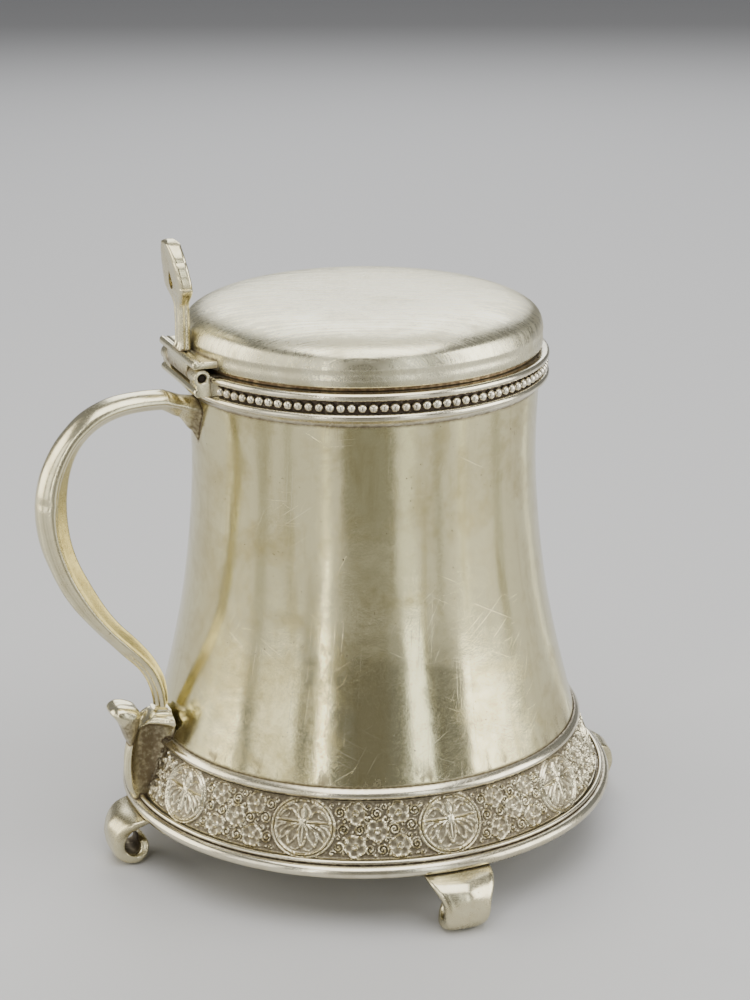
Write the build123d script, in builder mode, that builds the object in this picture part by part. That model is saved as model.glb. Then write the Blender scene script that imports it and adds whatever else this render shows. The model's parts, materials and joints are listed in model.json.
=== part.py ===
from build123d import *

import os
from math import asin, atan2, cos, degrees, hypot, radians, sin

os.makedirs("parts", exist_ok=True)

# A lidded metal beer stein on four scroll feet. Millimetres.
# The origin is on the vessel's axis, on the ground under the feet. +Z is up, and the handle points to -X.

# ---- driving dimensions ------------------------------------------------------------------------------

foot_height = 13.3  # ground to the underside of the base flange
flange_radius = 62.1
flange_height = 3.0
band_foot_radius = 59.3  # the relief band is a cone
band_head_radius = 54.0
band_height = 13.6
base_moulding_radius = 54.3
base_moulding_height = 2.5
rim_radius = 45.05  # outside of the two half-round wires at the mouth
rim_height = 125.1  # the lip
wall = 1.2  # thickness of the spun wall
solder = 0.03  # gap kept between curved faces that are soldered together

lid_radius = 43.45
lid_foot = 126.2  # lower edge of the lid
lid_height = 138.5  # crown of the lid
lid_wall = 1.1

hinge_radius = 44.75  # hinge axis, from the vessel's axis
hinge_height = 124.7
hinge_length = 28.0
knuckle_radius = 2.0
knuckle_gap = 0.1  # end play between two knuckles
pin_radius = 1.0
pin_clearance = 0.03
pin_recess = 0.6

thumb_height = 155.0  # top of the thumbpiece
thumb_width = 15.0

medallion_count = 10
bead_count = 112
bead_radius = 0.95

# ---- heights worked out from the dimensions above ----------------------------------------------------

flange_top = foot_height + flange_height
band_top = flange_top + band_height
shoulder_height = band_top + base_moulding_height
rim_wire_height = 1.8
bead_strip_height = 3.0
lower_wire_top = rim_height - rim_wire_height - bead_strip_height
lower_wire_foot = lower_wire_top - 3.2

# The wall's outside, from the top of the base moulding to the underside of the rim: a flared foot and a
# waist just under the mouth.
waist = [
    (52.65, shoulder_height),
    (50.15, 41.9),
    (46.0, 60.5),
    (43.2, 81.0),
    (42.1, 99.4),
    (42.6, lower_wire_foot),
]
neck_radius = waist[-1][0]
mouth_radius = neck_radius - wall
seat_radius = neck_radius + solder  # inside of every ring that is soldered round the mouth

band_strip = 1.2  # thickness of the relief band
skirt_foot_radius = band_foot_radius - band_strip - solder
skirt_head_radius = band_head_radius - band_strip - solder


def radial_plane(angle):
    """The upright plane through the axis at an angle: its x runs outward and its y runs up."""
    outward = (cos(radians(angle)), sin(radians(angle)), 0)
    tangent = (sin(radians(angle)), -cos(radians(angle)), 0)
    return Plane(origin=(0, 0, 0), x_dir=outward, z_dir=tangent)


def save(piece, name):
    """Labels a finished piece and writes it as its own file."""
    piece.part.label = name
    export_step(piece.part, f"parts/{name}.step")


handle_plane = radial_plane(180)

# ---- spun body ---------------------------------------------------------------------------------------

with BuildPart() as body_wall:
    with BuildSketch(Plane.XZ):
        with BuildLine():
            Polyline(
                (skirt_foot_radius, flange_top), (skirt_head_radius, band_top), waist[0]
            )
            outside = Spline(waist)
            Polyline(
                outside @ 1,
                (neck_radius, rim_height - wall / 2),
                (neck_radius - wall / 2, rim_height),
                (mouth_radius, rim_height - wall / 2),
                (mouth_radius, lower_wire_foot),
            )
            inside = Spline([(radius - wall, height) for radius, height in reversed(waist)])
            Polyline(
                inside @ 1,
                (skirt_head_radius - wall, band_top),
                (skirt_foot_radius - wall, flange_top),
                (skirt_foot_radius, flange_top),
            )
        make_face()
    revolve(axis=Axis.Z)

# The space that the wall and the base rings take up, grown by the solder gap: pieces that sit against the
# vessel are cut back to it.
with BuildPart() as envelope:
    with BuildSketch(Plane.XZ):
        with BuildLine():
            grown = Spline([(radius + solder, height) for radius, height in waist])
            Polyline(
                grown @ 1,
                (neck_radius + solder, rim_height),
                (0, rim_height),
                (0, foot_height),
                (flange_radius + solder, foot_height),
                (flange_radius + solder, flange_top),
                (band_foot_radius + 0.9, flange_top + 1.2),
                (band_head_radius + 0.7, band_top),
                (base_moulding_radius + solder, band_top),
                (base_moulding_radius + solder, shoulder_height + solder),
                grown @ 0,
            )
        make_face()
    revolve(axis=Axis.Z)

floor_foot = flange_top + 0.1
floor_edge_height = 2.4
floor_thickness = 1.2
floor_step = 0.9  # the pressed middle of the floor stands this much higher than its edge
skirt_slope = (skirt_foot_radius - skirt_head_radius) / band_height
floor_radius = skirt_foot_radius - wall - 0.2
floor_edge_radius = floor_radius - skirt_slope * floor_edge_height
floor_edge_top = floor_foot + floor_edge_height

with BuildPart() as body_floor:
    with BuildSketch(Plane.XZ):
        Polygon(
            (0, floor_edge_top + floor_step),
            (47, floor_edge_top + floor_step),
            (50, floor_edge_top),
            (floor_edge_radius, floor_edge_top),
            (floor_radius, floor_foot),
            (floor_radius - wall, floor_foot),
            (floor_edge_radius - wall, floor_edge_top - floor_thickness),
            (49.5, floor_edge_top - floor_thickness),
            (46.5, floor_edge_top + floor_step - floor_thickness),
            (0, floor_edge_top + floor_step - floor_thickness),
            align=None,
        )
    revolve(axis=Axis.Z)

# ---- base: flange, wire, relief band and top moulding ------------------------------------------------

flange_round = flange_height / 2
flange_bore = 55.2

with BuildPart() as base_flange:
    with BuildSketch(Plane.XZ):
        with BuildLine():
            rounding = ThreePointArc(
                (flange_radius - flange_round, foot_height),
                (flange_radius, foot_height + flange_round),
                (flange_radius - flange_round, flange_top),
            )
            Polyline(
                rounding @ 1,
                (flange_bore + 1, flange_top),
                (flange_bore, foot_height + flange_round),
                (flange_bore + 1, foot_height),
                rounding @ 0,
            )
        make_face()
    revolve(axis=Axis.Z)

wire_radius = 0.55

with BuildPart() as base_wire:
    with BuildSketch(Plane.XZ):
        with Locations((band_foot_radius + wire_radius + solder, flange_top + wire_radius)):
            Circle(wire_radius)
    revolve(axis=Axis.Z)

band_lean = degrees(atan2(band_foot_radius - band_head_radius, band_height))
band_slant = hypot(band_foot_radius - band_head_radius, band_height)
relief = 0.35  # how far the ornament stands out of the band


def band_plane(angle, lift=0):
    """A plane that lies on the band at an angle: its y runs up the slant, from the band's middle."""
    middle = (band_foot_radius + band_head_radius) / 2
    share = lift / band_slant
    radius = middle - share * (band_foot_radius - band_head_radius)
    height = flange_top + band_height * (0.5 + share)
    turn = radians(angle)
    lean = radians(band_lean)
    return Plane(
        origin=(radius * cos(turn), radius * sin(turn), height),
        x_dir=(-sin(turn), cos(turn), 0),
        z_dir=(cos(lean) * cos(turn), cos(lean) * sin(turn), sin(lean)),
    )


ornament_foot = flange_top + 2 * wire_radius + solder  # the ornament starts above the wire
band_slope = (band_foot_radius - band_head_radius) / band_height
ornament_foot_radius = band_foot_radius - (ornament_foot - flange_top) * band_slope
medallion_radius = 7.0
medallion_pitch = 360 / medallion_count
flower_radius = 1.7  # from a flower's middle to the middle of a petal
petal_radius = 0.95
petal_count = 5
flower_spread = 5.6  # degrees from the middle flower to the outer ones
flower_lift = 4.4
flower_spots = [(0, 0)] + [(side * flower_spread, lift * flower_lift) for side in (-1, 1) for lift in (-1, 1)]

# One sector of the ornament: a medallion and the five flowers beside it.
with BuildPart() as ornament:
    with BuildSketch(band_plane(medallion_pitch / 2)):
        Circle(medallion_radius)
        Circle(medallion_radius - 0.8, mode=Mode.SUBTRACT)
        with Locations((0, 0.9)):
            Rectangle(2 * medallion_radius - 1, 0.5)
        with Locations((0, 3.4)):
            Circle(1.3)
        for leaf_turn in (-38, 0, 38):
            leaf_x = 3.2 * sin(radians(leaf_turn))
            leaf_y = 0.9 - 3.2 * cos(radians(leaf_turn))
            with Locations(Location((leaf_x, leaf_y, 0), (0, 0, leaf_turn))):
                Ellipse(0.85, 2.7)
    for turn, lift in flower_spots:
        with BuildSketch(band_plane(turn, lift)):
            with PolarLocations(flower_radius, petal_count, start_angle=90):
                Circle(petal_radius)
            Circle(flower_radius - petal_radius / 2)
    extrude(amount=band_strip, both=True)
    with BuildSketch(Plane.XZ):
        Polygon(
            (ornament_foot_radius + relief, ornament_foot),
            (band_head_radius + relief, band_top),
            (band_head_radius - band_strip / 2, band_top),
            (ornament_foot_radius - band_strip / 2, ornament_foot),
            align=None,
        )
    revolve(axis=Axis.Z, mode=Mode.INTERSECT)

with BuildPart() as base_band:
    with BuildSketch(Plane.XZ):
        Polygon(
            (band_foot_radius, flange_top),
            (band_head_radius, band_top),
            (band_head_radius - band_strip, band_top),
            (band_foot_radius - band_strip, flange_top),
            align=None,
        )
    revolve(axis=Axis.Z)
    with PolarLocations(0, medallion_count):
        add(ornament.part)

with BuildPart() as base_top_moulding:
    with BuildSketch(Plane.XZ):
        inner_radius = waist[0][0] + 0.15
        with BuildLine():
            bulge = ThreePointArc(
                (base_moulding_radius - 0.5, band_top),
                (base_moulding_radius, band_top + 0.9),
                (inner_radius + 0.25, shoulder_height),
            )
            Polyline(bulge @ 1, (inner_radius, shoulder_height), (inner_radius, band_top), bulge @ 0)
        make_face()
    revolve(axis=Axis.Z)

# ---- rim: two half-round wires with a beaded strip between them --------------------------------------


def half_round(foot):
    """Profile of a half-round wire that is soldered round the mouth at a height."""
    shoulder = rim_radius - rim_wire_height / 2
    top = foot + rim_wire_height
    with BuildSketch(Plane.XZ) as profile:
        with BuildLine():
            crest = ThreePointArc((shoulder, foot), (rim_radius, foot + rim_wire_height / 2), (shoulder, top))
            Polyline(crest @ 1, (seat_radius, top), (seat_radius, foot), crest @ 0)
        make_face()
    return profile.sketch


cove_top = lower_wire_top - rim_wire_height

with BuildPart() as rim_lower_moulding:
    with BuildSketch(Plane.XZ):
        with BuildLine():
            cove = ThreePointArc(
                (seat_radius + 0.3, lower_wire_foot),
                (seat_radius + 0.8, cove_top - 0.5),
                (rim_radius - rim_wire_height / 2, cove_top),
            )
            Polyline(cove @ 1, (seat_radius, cove_top), (seat_radius, lower_wire_foot), cove @ 0)
        make_face()
        add(half_round(cove_top))
    revolve(axis=Axis.Z)

strip_radius = seat_radius + 0.7
bead_ring_radius = strip_radius + 0.65
bead_height = lower_wire_top + bead_radius + 0.05
bead_angles = [360 * (index + 0.5) / bead_count for index in range(bead_count)]
hinge_slot = hinge_length + 0.3  # the beads and the upper wire stop at each end of the hinge
# nearest whole bead to the hinge
last_bead = degrees(asin((hinge_slot / 2 + bead_radius) / bead_ring_radius))
bead_places = [
    (bead_ring_radius * cos(radians(angle)), bead_ring_radius * sin(radians(angle)), bead_height)
    for angle in bead_angles
    if abs(angle - 180) > last_bead
]


with BuildPart() as hinge_room:
    with BuildSketch(Plane.XY.offset(lower_wire_top)):
        with Locations((-hinge_radius, 0)):
            Rectangle(20, hinge_slot)
    extrude(amount=rim_height)


with BuildPart() as rim_bead_band:
    with BuildSketch(Plane.XZ):
        Polygon(
            (seat_radius, lower_wire_top),
            (strip_radius, lower_wire_top),
            (strip_radius, lower_wire_top + bead_strip_height),
            (seat_radius, lower_wire_top + bead_strip_height),
            align=None,
        )
    revolve(axis=Axis.Z)
    with Locations(bead_places):
        Sphere(bead_radius)
    add(hinge_room.part, mode=Mode.SUBTRACT)

with BuildPart() as rim_upper_moulding:
    revolve(half_round(rim_height - rim_wire_height), axis=Axis.Z)
    add(hinge_room.part, mode=Mode.SUBTRACT)

# ---- scroll feet -------------------------------------------------------------------------------------

scroll_top_width = 16.5
scroll_width = 11.6
waist_of_foot = 6.5  # height at which a foot reaches its narrow width
sole_sink = 0.12  # the round sole is cut flat at the ground by this much

# The strap seen from its side: out from under the flange, down, and back in as an open roll.
scroll_outside = [
    (61.5, foot_height),
    (66.0, 11.3),
    (68.5, 5.6),
    (66.9, 1.6),
    (63.4, -sole_sink),
    (59.7, 1.2),
    (58.4, 4.4),
    (59.8, 6.9),
]
scroll_inside = [
    (60.9, 5.9),
    (60.4, 4.2),
    (61.3, 2.6),
    (63.4, 2.0),
    (65.5, 3.0),
    (66.2, 5.9),
    (64.2, 9.6),
    (60.6, 11.4),
]


def make_foot(angle):
    """A scroll foot: the strap's side profile, kept where the flared front outline allows it."""
    with BuildPart() as foot:
        with BuildSketch(radial_plane(angle)):
            with BuildLine():
                outside_scroll = Spline(scroll_outside)
                ThreePointArc(outside_scroll @ 1, (60.8, 6.8), scroll_inside[0])
                inside_scroll = Spline(scroll_inside)
                Polyline(inside_scroll @ 1, (56.4, 12.1), (56.4, foot_height), outside_scroll @ 0)
            make_face()
        extrude(amount=scroll_top_width / 2, both=True)
        with BuildSketch(radial_plane(angle + 90)):
            half_top = scroll_top_width / 2
            half_foot = scroll_width / 2
            with BuildLine():
                Line((-half_foot, -1), (half_foot, -1))
                Line((half_foot, -1), (half_foot, waist_of_foot))
                Line((-half_foot, -1), (-half_foot, waist_of_foot))
                for side in (-1, 1):
                    Spline(
                        (side * half_foot, waist_of_foot),
                        (side * (half_foot + 0.9), waist_of_foot + 4.4),
                        (side * half_top, foot_height),
                    )
                Line((-half_top, foot_height), (half_top, foot_height))
            make_face()
        extrude(amount=flange_radius + 10, both=True, mode=Mode.INTERSECT)
        with BuildSketch(Plane.XY.offset(-5)):
            Rectangle(200, 200)
        extrude(amount=5, mode=Mode.SUBTRACT)
    return foot


foot_rear = make_foot(180)
foot_right = make_foot(270)
foot_front = make_foot(0)
foot_left = make_foot(90)

# ---- handle ------------------------------------------------------------------------------------------

handle_root = (49.6, 116.7)
handle_tail = (53.5, 39.2)
handle_bends = [(64.5, 115.2), (77.0, 101.5), (77.1, 81.8), (66.0, 61.3), (55.0, 47.6)]

# Along the handle from root to tail: how far, width, height of the rounded back, height of the keeled belly.
handle_sections = [
    (0.0, 8.2, 2.3, 2.6),
    (0.2, 8.8, 2.5, 3.0),
    (0.42, 9.6, 3.6, 4.2),
    (0.6, 8.8, 3.2, 3.8),
    (0.8, 7.0, 2.3, 2.8),
    (0.93, 6.0, 2.0, 2.2),
    (1.0, 5.8, 1.8, 1.8),
]

def keeled_section(plane, width, back, belly):
    """The handle's section on a plane whose y points to the belly: a rounded back and a keeled belly."""
    with BuildSketch(plane) as section:
        with BuildLine():
            back_arc = ThreePointArc((width / 2, 0), (0, -back), (-width / 2, 0))
            keel = ThreePointArc(back_arc @ 1, (-width * 0.33, belly * 0.56), (0, belly))
            ThreePointArc(keel @ 1, (width * 0.33, belly * 0.56), back_arc @ 0)
        make_face()
    return section.sketch


with BuildPart() as handle:
    with BuildLine(handle_plane) as handle_line:
        Spline(handle_root, *handle_bends, handle_tail, tangents=((1, 0.12), (0, -1)))
    spine = handle_line.line
    for share, *shape in handle_sections:
        add(keeled_section(Plane(origin=spine @ share, x_dir=(0, 1, 0), z_dir=spine % share), *shape))
    loft()

# The upper root widens from the handle's section to a leaf on the wall whose tip points down.
# Each section: distance from the vessel's axis, its middle's height, width, back, belly.
socket_sections = [
    (45.9, 115.4, 8.6, 2.0, 4.2),
    (41.8, 113.6, 9.6, 3.0, 7.0),
]


with BuildPart() as handle_socket:
    root_section = handle_sections[0]
    add(keeled_section(Plane(origin=spine @ 0, x_dir=(0, 1, 0), z_dir=spine % 0), *root_section[1:]))
    for radius, height, *shape in socket_sections:
        add(keeled_section(Plane(origin=(-radius, 0, height), x_dir=(0, 1, 0), z_dir=(-1, 0, 0)), *shape))
    loft()
    add(envelope.part, mode=Mode.SUBTRACT)

# ---- lower root of the handle: a dished bracket and the leaf that curls out of it --------------------

bracket_width = 13.0
bracket_spine_width = 5.0

with BuildPart() as handle_bracket:
    with BuildSketch(handle_plane):
        with BuildLine():
            tail_x, tail_height = handle_tail
            spine_curve = Spline(
                (61.9, flange_top),
                (63.4, 20.8),
                (62.6, 30.8),
                (60.4, 36.4),
                (57.0, 39.0),
                tangents=((0.3, 1), (-1, 0.1)),
            )
            Polyline(
                spine_curve @ 1,
                (tail_x + 2.4, tail_height),
                (tail_x - 2.6, tail_height),
                (46, tail_height - 2),
                (46, flange_top),
                spine_curve @ 0,
            )
        make_face()
    extrude(amount=bracket_width / 2, both=True)
    with BuildSketch(Plane.XY.offset(flange_top)):
        with BuildLine():
            half_wide = bracket_width / 2
            half_spine = bracket_spine_width / 2
            left_dish = ThreePointArc((-45, half_wide), (-57.0, half_spine + 0.6), (-63.6, half_spine - 0.4))
            spine_edge = Line(left_dish @ 1, (-63.6, 0.4 - half_spine))
            right_dish = ThreePointArc(spine_edge @ 1, (-57.0, -half_spine - 0.6), (-45, -half_wide))
            Line(right_dish @ 1, left_dish @ 0)
        make_face()
    extrude(amount=40, mode=Mode.INTERSECT)
    add(envelope.part, mode=Mode.SUBTRACT)

leaf_width = 9.6

with BuildPart() as handle_leaf:
    with BuildSketch(handle_plane):
        with BuildLine():
            underside = Spline((62.0, 30.6), (64.5, 34.6), (67.0, 39.0), tangents=((0.25, 1), (0.45, 0.9)))
            lip = ThreePointArc(underside @ 1, (66.6, 40.9), (64.6, 41.7))
            top_side = Spline(lip @ 1, (61.6, 41.4), (59.6, 39.4), tangents=((-1, 0.1), (-0.3, -1)))
            Polyline(top_side @ 1, (60.2, 34.0), underside @ 0)
        make_face()
    extrude(amount=leaf_width / 2, both=True)
    with BuildSketch(Plane.YZ):
        half_leaf = leaf_width / 2
        with BuildLine():
            leaf_root = Line((-2.0, 30), (2.0, 30))
            right_lobe = ThreePointArc(leaf_root @ 1, (half_leaf, 38.6), (0, 42.0))
            ThreePointArc(right_lobe @ 1, (-half_leaf, 38.6), leaf_root @ 0)
        make_face()
    extrude(amount=-80, mode=Mode.INTERSECT)
    add(handle_bracket.part, mode=Mode.SUBTRACT)
    add(handle.part, mode=Mode.SUBTRACT)

# ---- hinge -------------------------------------------------------------------------------------------

middle_length = 16.0
ledge_thickness = 1.2
plate_clearance = 0.25  # between the end knuckles and the lid's plate
plate_thickness = 1.9
plate_overhang = 0.25  # how far the plate's back edge passes the knuckles
half_length = hinge_length / 2
end_length = (hinge_length - middle_length) / 2 - knuckle_gap
knuckle_back = -hinge_radius - knuckle_radius
knuckle_front = -hinge_radius + knuckle_radius
ledge_height = lower_wire_top + solder
plate_height = hinge_height + knuckle_radius + plate_clearance
bore_plane = Plane(origin=(-hinge_radius, 0, hinge_height), x_dir=(1, 0, 0), z_dir=(0, -1, 0))

with BuildPart() as hinge_body_leaf:
    for side in (-1, 1):
        with BuildSketch(Plane.XZ.offset(side * (half_length - end_length / 2))):
            with Locations((-hinge_radius, hinge_height)):
                Circle(knuckle_radius)
            with Locations((-hinge_radius, (hinge_height + ledge_height) / 2)):
                Rectangle(2 * knuckle_radius, hinge_height - ledge_height)
            with Locations(((knuckle_front - 38) / 2, (rim_height + ledge_height) / 2)):
                Rectangle(knuckle_front + 38, rim_height - ledge_height)
        extrude(amount=end_length / 2, both=True)
    with BuildSketch(Plane.XY.offset(ledge_height)):
        with Locations(((knuckle_back - 38) / 2, 0)):
            Rectangle(-38 - knuckle_back, hinge_length)
    extrude(amount=ledge_thickness)
    with BuildSketch(Plane.XY.offset(foot_height)):
        Circle(seat_radius)
    extrude(amount=rim_height, mode=Mode.SUBTRACT)
    with BuildSketch(bore_plane):
        Circle(pin_radius + pin_clearance)
    extrude(amount=hinge_length, both=True, mode=Mode.SUBTRACT)
    fillet(hinge_body_leaf.edges().filter_by(Axis.Y).sort_by(Axis.X)[0:2], radius=0.5)

with BuildPart() as lid_hinge_leaf:
    with BuildSketch(Plane.XY.offset(plate_height)):
        with Locations(((knuckle_back - plate_overhang - 38) / 2, 0)):
            Rectangle(-38 - knuckle_back + plate_overhang, hinge_length)
    extrude(amount=plate_thickness)
    fillet(lid_hinge_leaf.edges().filter_by(Axis.Y).group_by(Axis.X)[0], radius=0.7)
    with BuildSketch(Plane.XZ):
        with Locations((-hinge_radius, hinge_height)):
            Circle(knuckle_radius)
        with Locations((-hinge_radius, (hinge_height + plate_height + 0.1) / 2)):
            Rectangle(2 * knuckle_radius, plate_height + 0.1 - hinge_height)
    extrude(amount=middle_length / 2, both=True)
    with BuildSketch(Plane.XY.offset(lid_foot - solder)):
        Circle(lid_radius + solder)
    extrude(amount=lid_height, mode=Mode.SUBTRACT)
    with BuildSketch(bore_plane):
        Circle(pin_radius + pin_clearance)
    extrude(amount=hinge_length, both=True, mode=Mode.SUBTRACT)

with BuildPart() as hinge_pin:
    with BuildSketch(bore_plane):
        Circle(pin_radius)
    extrude(amount=half_length - pin_recess, both=True)
    chamfer(hinge_pin.edges().filter_by(GeomType.CIRCLE), length=0.25)

# ---- lid ---------------------------------------------------------------------------------------------

# The outside of the lid, from its lower edge over the shoulder to the crown.
shoulder_start = (lid_radius, lid_foot + 4.0)
shoulder_mid = (lid_radius - 1.5, lid_height - 4.5)
dome_rise = [(36.25, lid_height - 1.75), (26.9, lid_height - 0.4)]
crown_radius = 14.0  # the middle of the crown is flat

with BuildPart() as lid_shell:
    with BuildSketch(Plane.XZ):
        with BuildLine():
            rise = Polyline((lid_radius - 0.7, lid_foot), (lid_radius - 0.15, lid_foot), shoulder_start)
            crown_edge = (crown_radius, lid_height)
            dome = Spline(rise @ 1, shoulder_mid, *dome_rise, crown_edge, tangents=((0, 1), (-1, 0)))
            under_crown = Polyline(
                dome @ 1,
                (0, lid_height),
                (0, lid_height - lid_wall),
                (crown_radius, lid_height - lid_wall),
            )
            under_dome = Spline(
                under_crown @ 1,
                (26.7, lid_height - 0.4 - lid_wall),
                (35.8, lid_height - 1.75 - lid_wall * 1.05),
                (shoulder_mid[0] - lid_wall * 0.8, shoulder_mid[1] - lid_wall * 0.75),
                (lid_radius - lid_wall, shoulder_start[1] - 0.3),
                tangents=((1, 0), (0, -1)),
            )
            Polyline(under_dome @ 1, (lid_radius - lid_wall, lid_foot + 0.4), rise @ 0)
        make_face()
    revolve(axis=Axis.Z)

bezel_gap = 0.12  # between the bezel and the lip
bezel_radius = lid_radius - lid_wall - solder
bezel_skirt_radius = mouth_radius - 0.4
bezel_foot = rim_height - 3.6
bezel_top = lid_foot + 2.2

with BuildPart() as lid_bezel:
    with BuildSketch(Plane.XZ):
        Polygon(
            (bezel_radius, rim_height + bezel_gap),
            (bezel_radius, bezel_top),
            (bezel_skirt_radius - 0.9, bezel_top),
            (bezel_skirt_radius - 0.9, bezel_foot),
            (bezel_skirt_radius - 0.3, bezel_foot),
            (bezel_skirt_radius, bezel_foot + 0.6),
            (bezel_skirt_radius, rim_height + bezel_gap),
            align=None,
        )
    revolve(axis=Axis.Z)

# ---- thumbpiece --------------------------------------------------------------------------------------

stem_height = plate_height + plate_thickness
stem_width = 5.4
stem_thickness = 2.6
head_thickness = 3.4
head_height = thumb_height - 10.6  # the widest place of the head
stem_front = -lid_radius - 0.4

# One side of the head, from the stem over three scallops to the tip.
head_corners = [
    (thumb_width / 2, head_height),
    (thumb_width * 0.44, thumb_height - 7.6),
    (thumb_width * 0.37, thumb_height - 4.7),
    (thumb_width * 0.27, thumb_height - 2.1),
]

with BuildPart() as thumbpiece:
    with BuildSketch(Plane.XZ):
        with BuildLine():
            front = Spline(
                (stem_front, stem_height),
                (stem_front - 0.1, head_height - 4),
                (stem_front - 1.7, thumb_height),
                tangents=((0, 1), (-0.25, 1)),
            )
            back = Spline(
                (stem_front - 1.7 - head_thickness, thumb_height),
                (stem_front - 0.1 - stem_thickness, head_height - 4),
                (stem_front - stem_thickness, stem_height),
                tangents=((0.25, -1), (0, -1)),
            )
            Line(front @ 1, back @ 0)
            Line(back @ 1, front @ 0)
        make_face()
    extrude(amount=thumb_width, both=True)
    with BuildSketch(Plane.YZ):
        for side in (-1, 1):
            with BuildLine():
                stem_side = Spline(
                    (side * stem_width / 2, stem_height),
                    (side * stem_width / 2, head_height - 5),
                    (side * head_corners[0][0], head_corners[0][1]),
                    tangents=((0, 1), (side * 0.9, 0.6)),
                )
                for low, high in zip(head_corners, head_corners[1:]):
                    middle_y = side * ((low[0] + high[0]) / 2 + 0.5)
                    middle_z = (low[1] + high[1]) / 2 + 0.2
                    ThreePointArc((side * low[0], low[1]), (middle_y, middle_z), (side * high[0], high[1]))
                last_y, last_z = head_corners[-1]
                tip_middle = (side * last_y * 0.62, thumb_height - 0.4)
                ThreePointArc((side * last_y, last_z), tip_middle, (0, thumb_height))
                Polyline((0, thumb_height), (0, stem_height), stem_side @ 0)
            make_face()
        with BuildLine():
            eye_height = head_height + 0.4
            tear = ThreePointArc((1.6, eye_height), (0, eye_height - 1.6), (-1.6, eye_height))
            Polyline(tear @ 1, (0, eye_height + 3.0), tear @ 0)
        make_face(mode=Mode.SUBTRACT)
    extrude(amount=-60, mode=Mode.INTERSECT)

# ---- one file per piece ------------------------------------------------------------------------------

save(body_wall, "body_wall")
save(body_floor, "body_floor")
save(base_flange, "base_flange")
save(base_wire, "base_wire")
save(base_band, "base_band")
save(base_top_moulding, "base_top_moulding")
save(rim_lower_moulding, "rim_lower_moulding")
save(rim_bead_band, "rim_bead_band")
save(rim_upper_moulding, "rim_upper_moulding")
save(foot_rear, "foot_rear")
save(foot_right, "foot_right")
save(foot_front, "foot_front")
save(foot_left, "foot_left")
save(handle, "handle")
save(handle_socket, "handle_socket")
save(handle_bracket, "handle_bracket")
save(handle_leaf, "handle_leaf")
save(hinge_body_leaf, "hinge_body_leaf")
save(hinge_pin, "hinge_pin")
save(lid_hinge_leaf, "lid_hinge_leaf")
save(lid_shell, "lid_shell")
save(lid_bezel, "lid_bezel")
save(thumbpiece, "thumbpiece")
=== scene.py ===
import json
from functools import partial
from math import atan2, cos, degrees, hypot, pi, radians, sin, sqrt

import bmesh
import bpy
import numpy as np
from mathutils import Matrix, Vector, noise
from mathutils.bvhtree import BVHTree


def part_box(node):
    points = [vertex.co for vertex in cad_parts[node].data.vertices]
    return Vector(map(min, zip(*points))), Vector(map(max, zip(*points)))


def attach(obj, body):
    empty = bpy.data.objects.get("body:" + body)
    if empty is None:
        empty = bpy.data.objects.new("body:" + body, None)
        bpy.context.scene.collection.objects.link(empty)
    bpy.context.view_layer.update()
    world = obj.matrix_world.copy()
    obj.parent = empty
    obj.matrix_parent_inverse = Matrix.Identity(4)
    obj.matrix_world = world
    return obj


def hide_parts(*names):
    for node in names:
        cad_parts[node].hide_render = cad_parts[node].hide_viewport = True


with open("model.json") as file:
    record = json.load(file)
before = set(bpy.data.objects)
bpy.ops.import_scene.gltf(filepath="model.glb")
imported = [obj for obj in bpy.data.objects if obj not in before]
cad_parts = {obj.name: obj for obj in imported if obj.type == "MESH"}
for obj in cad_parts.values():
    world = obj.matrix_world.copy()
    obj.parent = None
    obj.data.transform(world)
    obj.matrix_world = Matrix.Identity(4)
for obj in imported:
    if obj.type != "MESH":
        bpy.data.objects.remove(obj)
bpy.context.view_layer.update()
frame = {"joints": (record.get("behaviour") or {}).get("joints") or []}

# A lidded silver-plated stein. Shapes are worked out in millimetres in the CAD's own frame and become metres
# when a mesh is made. Radii and heights are read from the CAD nodes' boxes.
MM = 0.001


# ---- places read from the frame ----


def node_box(node):
    """Lowest and highest corner of a CAD node, in millimetres."""
    low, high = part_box(node)
    return np.array(low) / MM, np.array(high) / MM


axis_x, _, axis_z = (value / MM for value in frame["joints"][0]["pos_m"])

flange_low, flange_high = node_box("base_flange")
band_low, band_high = node_box("base_band")
moulding_low, moulding_high = node_box("base_top_moulding")
lower_wire_low, lower_wire_high = node_box("rim_lower_moulding")
bead_low, bead_high = node_box("rim_bead_band")
upper_wire_low, upper_wire_high = node_box("rim_upper_moulding")
lid_low, lid_high = node_box("lid_shell")
leaf_low, leaf_high = node_box("hinge_body_leaf")
plate_low, plate_high = node_box("lid_hinge_leaf")
pin_low, pin_high = node_box("hinge_pin")
thumb_low, thumb_high = node_box("thumbpiece")

flange_radius = flange_high[0]
rim_radius = lower_wire_high[0]
lid_radius = lid_high[0]
hinge_half = leaf_high[1]


# ---- curves ----


def arc(centre, radius, start, end, count=12):
    """Points on a circular arc; the angles are in degrees, anticlockwise from the first axis."""
    angles = np.radians(np.linspace(start, end, count))
    return [(centre[0] + radius * cos(a), centre[1] + radius * sin(a)) for a in angles]


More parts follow.
